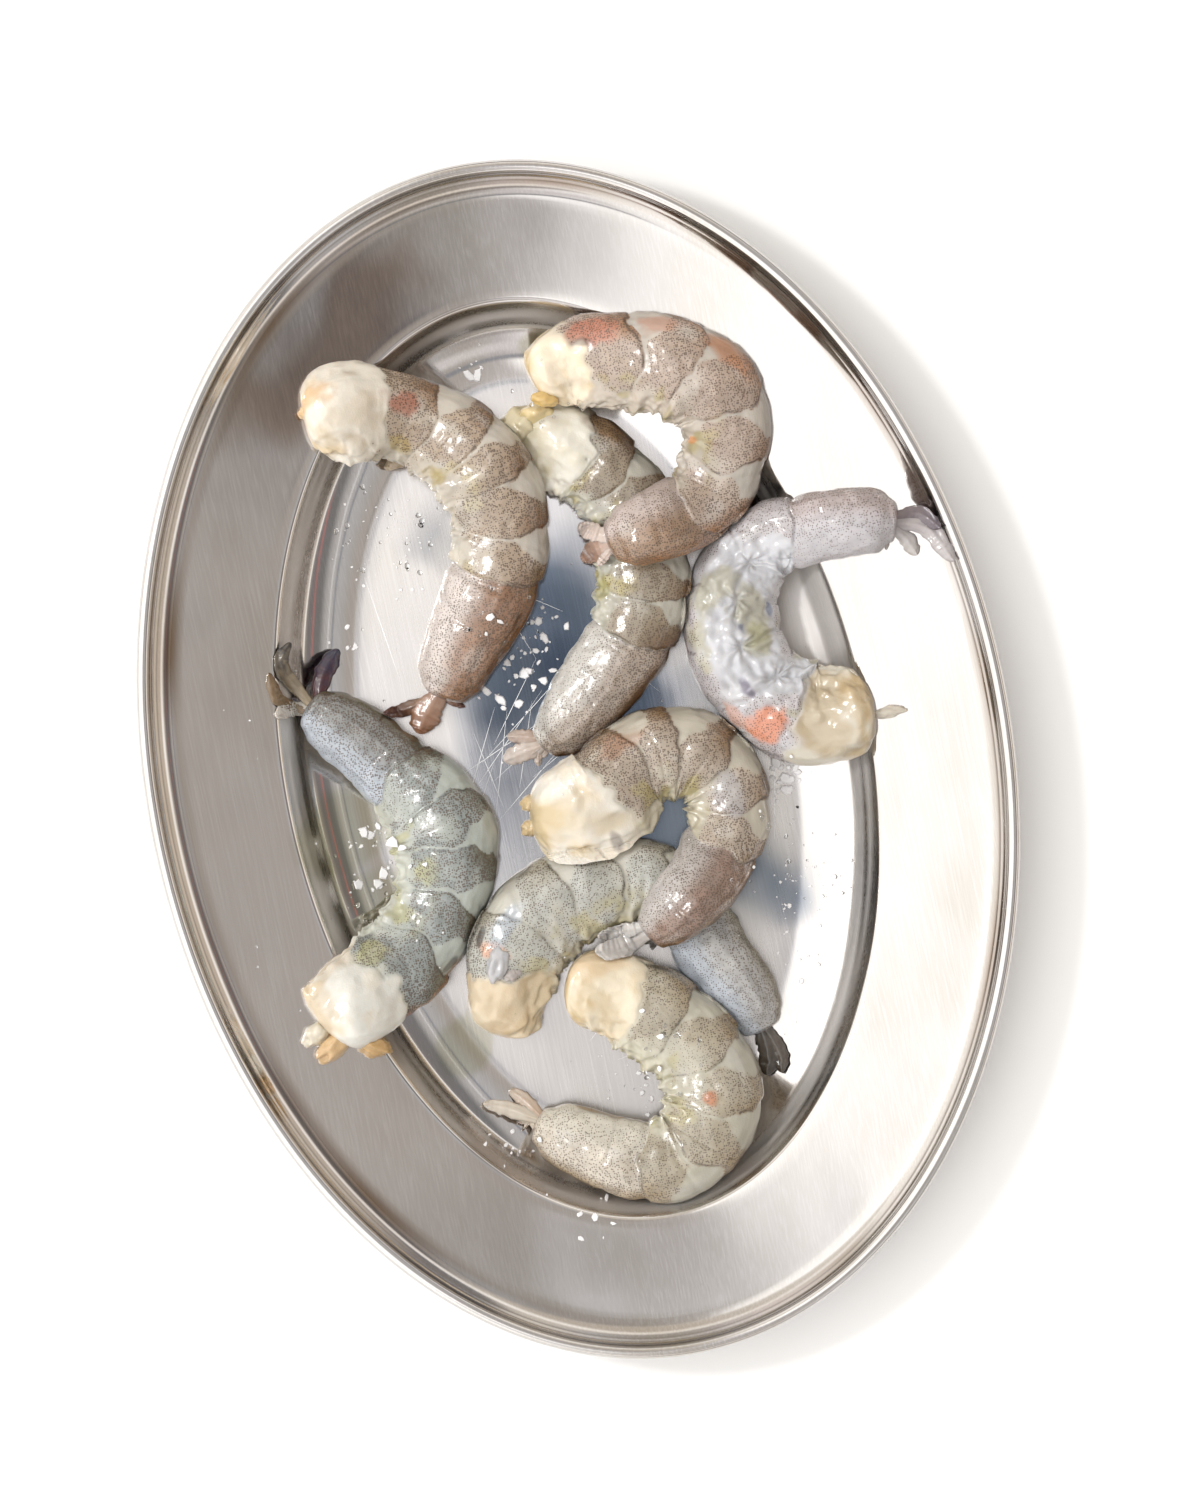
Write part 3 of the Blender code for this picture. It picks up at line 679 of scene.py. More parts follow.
def smooth_route(route: tuple, samples: int = 500) -> np.ndarray:
    """Return a route resampled evenly along a Catmull-Rom curve.

    Args:
        route: rows of x, y and further values at chosen places.
        samples: number of rows in the result.

    Returns:
        Rows of distance travelled, x, y and the further values.
    """
    knots = np.array(route, float)
    knots = np.vstack([2 * knots[0] - knots[1], knots, 2 * knots[-1] - knots[-2]])
    share = np.linspace(0, 1, 40, endpoint=False)[:, None]
    pieces = []
    for before, start, end, after in zip(knots, knots[1:], knots[2:], knots[3:]):
        pieces.append(0.5 * (2 * start + (end - before) * share
                             + (2 * before - 5 * start + 4 * end - after) * share ** 2
                             + (3 * start - before - 3 * end + after) * share ** 3))
    curve = np.vstack([*pieces, knots[-2]])
    step = np.hypot(*np.diff(curve[:, :2], axis=0).T)
    travelled = np.concatenate([[0], np.cumsum(step)])
    even = np.linspace(0, travelled[-1], samples)
    return np.column_stack([even] + [np.interp(even, travelled, column) for column in curve.T])


def blur(values: np.ndarray, reach: float, step: float) -> np.ndarray:
    """Return values smoothed along a line by a bell of the given reach."""
    half = int(3 * reach / step)
    weights = np.exp(-0.5 * (np.arange(-half, half + 1) * step / reach) ** 2)
    return np.convolve(np.pad(values, half, mode="edge"), weights / weights.sum(), mode="valid")


@dataclass(frozen=True)
class Palette:
    """Display colours of one shrimp, and how strong its dark pigment is.

    A tile is the pigmented patch of a segment, the back its darker outline,
    and the edge its rim. The lump is the flesh at the head end, with a tip of
    its own, and the tail is the last long segment.
    """

    flesh: tuple
    tile: tuple
    back: tuple
    lump: tuple
    tip: tuple
    tail: tuple
    tail_belly: tuple
    belly: tuple
    olive: tuple = (178, 166, 110)
    edge: tuple = (78, 58, 44)
    pigment: float = 1.0


@dataclass(frozen=True)
class Blade:
    """One blade of a tail fan: its route on the plan, width and colours.

    The lift is how far its end stays off what lies below.
    """

    route: tuple
    width: float
    root: tuple
    tip: tuple
    lift: float = 0.0
    thickness: float = 1.4


@dataclass(frozen=True)
class Blob:
    """A small lump or flap of flesh: place x, y, half sizes, heading and colour.

    The height is the share of the way from the ground to the body's top.
    """

    x: float
    y: float
    sizes: tuple
    heading: float
    color: tuple
    height: float = 0.5


@dataclass(frozen=True)
class Accent:
    """A tinted spot on the body: share of length, side, sizes, colour, strength.

    Side is the angle round the body in degrees: 0 is the back's outline, 90
    the middle of the upper side and 180 the belly's outline.
    """

    share: float
    side: float
    length: float
    width: float
    color: tuple
    strength: float = 0.8


@dataclass(frozen=True)
class Shrimp:
    """One shrimp: its route of x, y and visible depth from head to tail.

    lump_end and tail_start are shares of its length, and roundness is its
    thickness as a share of its depth. back is 1 where the back is on the
    route's left and -1 on its right. belly_up lists how far it is rolled, in
    degrees, at shares of its length. The gap keeps it off what lies below.
    """

    name: str
    route: tuple
    lump_end: float
    tail_start: float
    roundness: float
    palette: Palette
    blades: tuple
    blobs: tuple = ()
    accents: tuple = ()
    back: int = 1
    belly_up: tuple = ()
    shreds: int = 3
    seed: int = 1
    rings: int = 460
    sides: int = 180
    gap: float = 0.32

    def build(self, material: bpy.types.Material, ground: Ground) -> bpy.types.Object:
        """Return the shrimp laid on the ground, and raise the ground to its back."""
        body = Body(self, ground)
        parts = MeshParts()
        rings, tint, speck = body.surface()
        first = np.append(body.line_at("xy", 0.0), rings[0, :, 2].mean())
        last = np.append(body.line_at("xy", body.length), rings[-1, :, 2].mean())
        parts.add_tube(rings, first, last, tint, speck)
        for blade in self.blades:
            body.add_blade(parts, blade)
        for blade in body.tatters():
            body.add_blade(parts, blade)
        for blob in self.blobs:
            body.add_blob(parts, blob, rings)
        ground.lay(np.vstack(parts.points))
        return parts.build(self.name + "_flesh", material)


class Body:
    """The surface of a shrimp, worked out on a grid of rings and sides.

    head_cap and tail_cap are the lengths of the rounded ends, and drape is
    how far the body bridges over uneven ground. It sinks in and is squeezed
    by a little where it lies on something. The tail has a ridge at each of
    ridge_turns, in radians from the back's outline. A grid is the number of
    rings and sides of a blade or a blob.
    """

    head_cap = 8.0
    tail_cap = 8.0
    segments = 5
    back_fullness = 0.16
    belly_room = 0.85
    sink = 0.9
    squeezed = 3.0
    drape = 7.0
    ridge_turns = (1.25, 5.03)
    ridge_height = 0.42
    shred_thickness = 0.8
    # pale colour painted on the half that faces down: painted light that lifts its shade
    milk = (214, 212, 208)
    underside = (226, 220, 210)
    blade_grid = (44, 28)
    blob_grid = (30, 36)

    def __init__(self, shrimp: Shrimp, ground: Ground) -> None:
        self.shrimp = shrimp
        self.ground = ground
        self.noise = Noise(shrimp.seed)
        line = smooth_route(shrimp.route)
        self.arc = line[:, 0]
        self.length = self.arc[-1]
        step = self.arc[1]
        self.x = blur(line[:, 1], 1.5, step)
        self.y = blur(line[:, 2], 1.5, step)
        self.depth = blur(line[:, 3], 3.0, step)
        heading = np.unwrap(np.arctan2(np.gradient(self.y), np.gradient(self.x)))
        self.side_x = -np.sin(heading) * shrimp.back
        self.side_y = np.cos(heading) * shrimp.back
        turning = np.abs(np.gradient(heading, step))
        self.room = self.belly_room / np.maximum(blur(turning, 2.0, step), 0.01)
        self.thick = self.depth * shrimp.roundness
        reach = np.linspace(-0.3, 0.3, 9)[:, None] * self.depth
        floor = ground.under(self.x + reach * self.side_x, self.y + reach * self.side_y).max(axis=0)
        self.z = blur(floor, self.drape, step) + shrimp.gap + self.thick / 2 - self.sink

    def line_at(self, name: str, arc: np.ndarray) -> np.ndarray:
        """Return a value of the middle line at distances from the head."""
        if name == "xy":
            return np.array([np.interp(arc, self.arc, self.x), np.interp(arc, self.arc, self.y)])
        return np.interp(arc, self.arc, getattr(self, name))

    def roll(self, share: np.ndarray) -> np.ndarray:
        """Return how far the body is rolled belly up, in radians."""
        if not self.shrimp.belly_up:
            return np.zeros_like(share)
        places, angles = zip(*self.shrimp.belly_up)
        return np.radians(np.interp(share, places, angles))

    def make_grid(self) -> None:
        """Work out the coordinates that the relief and the colours share.

        share runs from head to tail, turn goes round from the back's outline
        over the upper side, place counts segments, and phase is the share of
        the way through a segment. Segment edges bow towards the tail on the
        flank. flat holds the point on an unbent body, for the noise.
        """
        shrimp = self.shrimp
        even = (np.arange(shrimp.rings) + 0.5) / shrimp.rings
        eased = even - 0.5 * np.sin(2 * math.pi * even) / (2 * math.pi)
        turns = np.linspace(0, 2 * math.pi, shrimp.sides, endpoint=False)
        self.s, self.turn = np.meshgrid(eased * self.length, turns, indexing="ij")
        self.share = self.s / self.length
        radius = self.line_at("depth", self.s) / 2 * self.end_rounding()
        self.flat = np.stack([self.s, radius * np.cos(self.turn), radius * np.sin(self.turn)], axis=-1)
        self.body_turn = self.turn + self.roll(self.share)
        self.side = np.cos(self.body_turn)
        self.from_belly = np.arctan2(np.sin(self.body_turn - math.pi), np.cos(self.body_turn - math.pi))
        self.span = (shrimp.tail_start - shrimp.lump_end) / self.segments
        bow = 0.26 * (1 - self.side ** 2)
        ragged = 0.16 * self.noise.at(self.flat, 8.0) + 0.05 * self.noise.at(self.flat, 2.5)
        even = (self.share - shrimp.lump_end) / self.span
        self.place = even - bow + ragged * (1 + 1.6 * smoothstep(1.0, 0.3, even))
        self.phase = self.place - np.floor(self.place)
        self.banded = (self.place > 0) & (self.place < self.segments)
        self.lump = smoothstep(0.12, -0.12, self.place)
        self.tail = smoothstep(self.segments - 0.03, self.segments + 0.03, self.place)

    def relief(self) -> np.ndarray:
        """Return the height of the surface over its smooth form.

        Each segment rises from under the one before it and ends in a step.
        The lump is knotted and creased, the belly is uneven, and joints have
        fine creases that spread from the belly's midline.
        """
        flat = self.flat
        rise = smoothstep(0.0, 0.5, self.phase) * (1 - smoothstep(0.93, 1.0, self.phase))
        flank = 0.35 + 0.65 * smoothstep(-0.9, 0.1, self.side)
        uneven = 0.65 + 0.55 * self.noise.at(flat + 61, 9.0)
        tiles = np.where(self.banded, (0.80 * rise - 0.50) * flank * uneven, 0.0)
        tiles += np.where(self.banded, 0.15 * np.sin(math.pi * self.phase), 0.0)
        tail_rise = smoothstep(self.segments, self.segments + 0.35, self.place)
        tiles += self.tail * (0.9 * tail_rise - 0.7)
        for turn in self.ridge_turns:
            tiles += self.ridge_height * self.tail * bell(self.body_turn - turn, 0.16)
        to_end = self.length - self.s
        tiles += self.tail * (0.3 * bell(to_end - 1.4, 0.8) - 0.35 * bell(to_end - 3.6, 1.0))
        folds = self.noise.layered(flat * (0.8, 1, 1), 11.0)
        creases = 0.5 - np.abs(self.noise.at(flat * (0.6, 1, 1) + 7, 5.5))
        creases -= 0.4 * np.abs(self.noise.at(flat, 2.6))
        fibres = 0.16 * self.noise.at(flat * (0.12, 1, 1), 1.8) + 0.25 * self.noise.at(flat, 5.0)
        soft_lump = smoothstep(0.35, -0.30, self.place)
        lump = soft_lump * (1.3 * folds + 0.45 * creases - 0.1)
        belly = smoothstep(-0.45, -0.9, self.side) * (1 - self.tail)
        lumps = belly * (0.9 * self.noise.at(flat, 3.2) + 0.4 * self.noise.at(flat, 1.6))
        stumps = belly * 0.9 * bell(self.phase - 0.2, 0.13) * self.banded
        soft = 0.34 * self.noise.at(flat, 7.0) + 0.16 * self.noise.at(flat, 2.4)
        soft += 0.07 * self.noise.at(flat * (0.6, 1, 1), 1.1)
        wrinkles = smoothstep(0.25, 0.0, np.abs(self.noise.at(flat * (1, 0.5, 0.5) + 19, 6.0)))
        soft -= 0.22 * wrinkles * (1 - self.lump)
        return tiles + self.tail * fibres + lump + lumps + stumps + soft + self.seam()

    def seam(self) -> np.ndarray:
        """Return the belly's midline groove and the creases round each joint."""
        radius = self.line_at("depth", self.s) / 2
        along = (self.place - np.rint(self.place)) * self.span * self.length
        across = self.from_belly * radius
        reach = np.hypot(along, across)
        angle = np.arctan2(across, along)
        star = np.cos(9 * angle + 3 * self.noise.at(self.flat, 6.0)) * bell(reach, 5.5)
        groove = bell(across, 0.9) * (1 - self.tail)
        belly = smoothstep(-0.2, -0.7, self.side) * (1 - self.lump) * (1 - self.tail)
        return belly * (0.38 * star * smoothstep(0, 1.5, reach) - 0.8 * groove)

    def end_rounding(self) -> np.ndarray:
        """Return 0 at both tips and 1 beyond the caps, along blunt quarter ovals."""
        head = np.clip(1 - self.s / self.head_cap, 0, 1)
        tail = np.clip(1 - (self.length - self.s) / self.tail_cap, 0, 1)
        return np.sqrt(1 - head ** 2.6) * np.sqrt(1 - tail ** 2.5)

    def surface(self) -> tuple:
        """Return the body's rings of points, their colours and speck strengths.

        A section is an oval, fuller at the back than at the belly. It stands
        across the middle line, and is pushed up where it would sink into
        what lies below.
        """
        self.make_grid()
        ends = self.end_rounding()
        relief = self.relief() * smoothstep(0.0, 0.6, ends)
        across = (self.line_at("depth", self.s) / 2 * ends + relief) * np.cos(self.turn)
        across = np.maximum(across, -self.line_at("room", self.s))
        fuller = 1 + self.back_fullness * np.cos(self.turn)
        upward = (self.line_at("thick", self.s) / 2 * ends + relief) * np.sin(self.turn) * fuller
        x = self.line_at("x", self.s) + across * self.line_at("side_x", self.s)
        y = self.line_at("y", self.s) + across * self.line_at("side_y", self.s)
        lift = (1 + np.sin(self.turn)) / 2 * self.squeezed * ends
        lift += 0.25 * relief * (np.sin(self.turn) > 0)
        floor = self.ground.under(x, y) + self.shrimp.gap + np.maximum(lift, 0)
        z = np.maximum(self.line_at("z", self.s) + upward, floor)
        tint, speck = self.colors()
        return np.stack([x, y, z], axis=-1), tint, speck

    def pigment(self) -> np.ndarray:
        """Return how much pigment each point has, from 0 to 1.

        A segment's pigment is a rounded patch that leaves the belly bare, and
        a pale wedge at the back where the next patch begins. The tail's last
        segment is pigmented all over, less so towards the belly.
        """
        noise = self.noise
        wander = 0.30 * noise.layered(self.flat, 8.0)
        front = 0.60 * smoothstep(0.20, 1.0, self.side + 0.6 * wander)
        front = 0.03 + front * smoothstep(0.9, 1.1, self.place)
        patch = smoothstep(front - 0.03, front + 0.04, self.phase + 0.16 * wander)
        patch = 0.14 + 0.86 * patch
        patch *= smoothstep(-0.90, -0.55, self.side + wander)
        holes = smoothstep(-0.60, -0.10, noise.at(self.flat + 40, 6.0) + 0.45 * self.side)
        patch *= 0.45 + 0.55 * holes
        tail = 0.45 + 0.55 * smoothstep(-0.9, 0.1, self.side + 0.5 * wander)
        return np.where(self.banded, patch, 0.0) + self.tail * tail * (1 - self.banded)

    def colors(self) -> tuple:
        """Return the linear colour and the speck strength of each point."""
        shrimp, noise, flat = self.shrimp, self.noise, self.flat
        look = shrimp.palette
        pigment = self.pigment()
        color = np.broadcast_to(wet_flesh(*look.flesh), (*pigment.shape, 3))
        color = mix(color, wet_flesh(*look.belly), smoothstep(-0.35, -0.85, self.side))
        color = mix(color, wet_flesh(*look.tile), 0.9 * pigment * (1 - self.tail))
        dark = smoothstep(0.2, 1.0, self.side + 0.3 * noise.layered(flat, 9.0))
        dark *= smoothstep(0.25, 1.0, self.phase)
        color = mix(color, wet_flesh(*look.back), 0.85 * dark * pigment * (1 - self.tail))
        tail_ground = mix(wet_flesh(*look.tail), wet_flesh(*look.back), smoothstep(0.65, 1.0, self.side))
        tail_ground = mix(wet_flesh(*look.tail_belly), tail_ground, smoothstep(-0.55, 0.15, self.side))
        color = mix(color, tail_ground, self.tail)
        olive = smoothstep(0.15, 0.65, noise.layered(flat + 90, 7.0)) * smoothstep(0.1, -0.5, self.side)
        color = mix(color, wet_flesh(*look.olive), 0.6 * olive * (1 - self.tail) * (1 - self.lump))
        tip = smoothstep(0.45, 0.0, self.share / shrimp.lump_end + 0.40 * noise.layered(flat, 7.0))
        rosy = smoothstep(0.1, 0.6, noise.layered(flat + 31, 6.0))
        bright = np.clip(np.array(look.lump) + 14, 0, 255)
        lump = mix(wet_flesh(*bright), wet_flesh(*look.tip), np.clip(0.8 * tip + 0.25 * rosy, 0, 1))
        # painted shade: the lump is darker, and yellower, in the hollows between its folds
        fold = noise.layered(flat * (0.8, 1, 1), 11.0) + 0.3 * noise.at(flat + 17, 3.0)
        lump = mix(lump, 0.82 * wet_flesh(*look.tip), 0.55 * smoothstep(0.05, -0.55, fold))
        color = mix(color, lump, self.lump)
        color = self.draw_edges(color)
        mottle = noise.layered(flat + 55, 4.0) * (1 - 0.6 * self.lump)
        mottle += 0.7 * noise.at(flat * (0.35, 1, 1) + 70, 0.9) * (1 - self.lump)
        color = color * (1 + 0.11 * mottle[..., None])
        milky = smoothstep(0.35, 0.8, noise.at(flat * (0.7, 1, 1) + 81, 5.0)) * (1 - self.lump)
        color = mix(color, wet_flesh(*self.milk), 0.30 * milky)
        for accent in shrimp.accents:
            color = mix(color, wet_flesh(*accent.color), self.spot(accent))
        # painted light: the half facing down, which lies in shade, is painted pale cream without dots
        under = smoothstep(-0.05, -0.45, np.sin(self.turn))
        color = mix(color, wet_flesh(*self.underside), 0.75 * under)
        speck = (1 - under) * smoothstep(0.10, 0.62, pigment) * look.pigment
        speck *= 0.85 + 0.2 * smoothstep(0.0, 1, self.side)
        color = color * (1 + 0.18 * speck ** 2)[..., None]
        return np.clip(color, 0.004, 1), speck

    def draw_edges(self, color: np.ndarray) -> np.ndarray:
        """Return colours with the segments' broken dark rims and the back's dark line."""
        edge = wet_flesh(*self.shrimp.palette.edge)
        broken = smoothstep(-0.15, 0.3, self.noise.at(self.flat + 13, 3.0) + 0.2 * self.side)
        rim = bell(self.phase - 0.965, 0.016) * self.banded * broken
        color = mix(color, edge, 0.70 * rim * smoothstep(-0.85, -0.45, self.side))
        start = bell(self.place - self.segments - 0.02, 0.022) * broken
        color = mix(color, edge, 0.6 * start)
        outline = smoothstep(0.965, 1.0, self.side) * (np.sin(self.turn) > 0) * (1 - self.lump)
        patchy = smoothstep(-0.3, 0.3, self.noise.at(self.flat, 5.0))
        color = mix(color, edge, 0.55 * outline * patchy)
        rear = smoothstep(0.985, 1.0, self.share) * smoothstep(-0.4, 0.2, self.noise.at(self.flat + 3, 4.0))
        return mix(color, edge, 0.6 * rear)

    def spot(self, accent: Accent) -> np.ndarray:
        """Return the strength of an accent's spot at each point."""
        radius = self.line_at("depth", self.s) / 2
        offset = self.turn - math.radians(accent.side)
        across = np.arctan2(np.sin(offset), np.cos(offset)) * radius / accent.width
        along = (self.share - accent.share) * self.length / accent.length
        ragged = 0.35 * self.noise.layered(self.flat + 23, 3.5)
        return accent.strength * smoothstep(1.15, 0.55, np.hypot(along, across) + ragged)

    def add_blade(self, parts: MeshParts, blade: Blade) -> None:
        """Add a blade of the tail fan, sinking from the body to the ground.

        Its section is a flat oval with a midrib, widest past its middle.
        """
        rings, sides = self.blade_grid
        line = smooth_route([(*place, blade.width) for place in blade.route])
        share = (np.arange(rings) + 0.5) / rings
        arc = share * line[-1, 0]
        centre = np.column_stack([np.interp(arc, line[:, 0], line[:, index]) for index in (1, 2)])
        heading = np.gradient(centre, axis=0)
        heading /= np.linalg.norm(heading, axis=1, keepdims=True)
        narrow = blade.width / 2 * np.sqrt(np.clip(1 - share ** 5, 0, 1))
        narrow *= 0.5 + 0.5 * np.sin(0.7 * math.pi * share)
        turn = np.linspace(0, 2 * math.pi, sides, endpoint=False)
        along, turns = np.meshgrid(share, turn, indexing="ij")
        probe = np.stack([along * 20, np.cos(turns) * 3, np.sin(turns)], axis=-1)
        across = narrow[:, None] * np.cos(turns) * (1 + 0.14 * self.noise.at(probe, 1.4))
        x = centre[:, :1] - across * heading[:, 1:]
        y = centre[:, 1:] + across * heading[:, :1]
        start = self.z[-1] - 0.12 * self.thick[-1]
        rest = self.ground.under(*centre.T) + self.shrimp.gap + blade.thickness / 2 + blade.lift
        middle = start + (rest - start) * np.minimum(1, share * 1.1) ** 1.3
        rib = 0.35 * bell(np.cos(turns), 0.22) * (np.sin(turns) > 0)
        waves = 0.25 * self.noise.at(probe + 9, 2.0) * along
        z = middle[:, None] + blade.thickness / 2 * np.sin(turns) + rib + waves
        floor = self.ground.under(x, y) + self.shrimp.gap + blade.thickness * (1 + np.sin(turns)) / 2
        z = np.maximum(z, floor)
        shade = np.clip(along + 0.25 * self.noise.at(probe + 30, 1.2), 0, 1)
        tint = mix(wet_flesh(*blade.root), wet_flesh(*blade.tip), shade)
        veins = 1 - 0.25 * np.abs(np.cos(turns)) ** 6
        veins -= 0.18 * smoothstep(0.3, 0.8, self.noise.at(probe * (0.3, 2, 2), 1.3))
        tint = tint * veins[..., None]
        first = np.array([*blade.route[0], z[0].mean()])
        last = np.array([*blade.route[-1], z[-1].mean()])
        parts.add_tube(np.stack([x, y, z], axis=-1), first, last, tint, 0.25 * (1 - along))

    def tatters(self) -> list:
        """Return thin torn shreds round the tail fan, from a seeded rule."""
        shrimp = self.shrimp
        draw = np.random.default_rng(shrimp.seed + 900)
        root = np.array(shrimp.blades[0].route[0])
        ahead = math.atan2(*(np.array([self.y[-1], self.x[-1]]) - np.array([self.y[-30], self.x[-30]])))
        shreds = []
        for _ in range(shrimp.shreds):
            angle = ahead + draw.normal(0, 0.75)
            length = draw.uniform(3.0, 7.5)
            bend = draw.uniform(-0.9, 0.9)
            middle = root + length * 0.5 * np.array([math.cos(angle), math.sin(angle)])
            end = middle + length * 0.5 * np.array([math.cos(angle + bend), math.sin(angle + bend)])
            tone = draw.uniform(-14, 14)
            root_color = tuple(np.array(shrimp.blades[0].root) + tone)
            tip_color = tuple(np.array(shrimp.blades[1].tip) + tone)
            start = tuple(root + draw.normal(0, 1.2, 2))
            width = draw.uniform(1.2, 3.0)
            lift = draw.uniform(0, 1.5)
            route = (start, tuple(middle), tuple(end))
            shreds.append(Blade(route, width, root_color, tip_color, lift, self.shred_thickness))
        return shreds

    def add_blob(self, parts: MeshParts, blob: Blob, rings: np.ndarray) -> None:
        """Add a small knotted lump or flap, a stretched sphere with noise."""
        levels, sides = self.blob_grid
        polar = (np.arange(levels) + 0.5) / levels * math.pi
        turn = np.linspace(0, 2 * math.pi, sides, endpoint=False)
        polar, turns = np.meshgrid(polar, turn, indexing="ij")
        unit = [np.cos(polar), np.sin(polar) * np.cos(turns), np.sin(polar) * np.sin(turns)]
        unit = np.stack(unit, axis=-1)
        swell = 1 + 0.22 * self.noise.at(unit * 4 + blob.x, 2.0)
        swell += 0.10 * self.noise.at(unit * 4 + blob.y, 0.9)
        local = unit * np.array(blob.sizes) * swell[..., None]
        cosine, sine = math.cos(math.radians(blob.heading)), math.sin(math.radians(blob.heading))
        x = blob.x + local[..., 0] * cosine - local[..., 1] * sine
        y = blob.y + local[..., 0] * sine + local[..., 1] * cosine
        near = np.hypot(rings[..., 0] - blob.x, rings[..., 1] - blob.y) < 5.0
        floor = self.ground.under(np.array(blob.x), np.array(blob.y)) + self.shrimp.gap
        top = rings[..., 2][near].max() if near.any() else floor + 4.0
        middle = floor + (top - floor) * blob.height
        rest = self.ground.under(x, y) + self.shrimp.gap + 0.4 * (1 + unit[..., 2])
        z = np.maximum(middle + local[..., 2], rest)
        points = np.stack([x, y, z], axis=-1)
        shade = 1 + 0.10 * self.noise.at(unit * 5 + 7, 1.5)
        tint = np.clip(wet_flesh(*blob.color) * shade[..., None], 0, 1)
        parts.add_tube(points, points[0].mean(axis=0), points[-1].mean(axis=0), tint, 0.0)


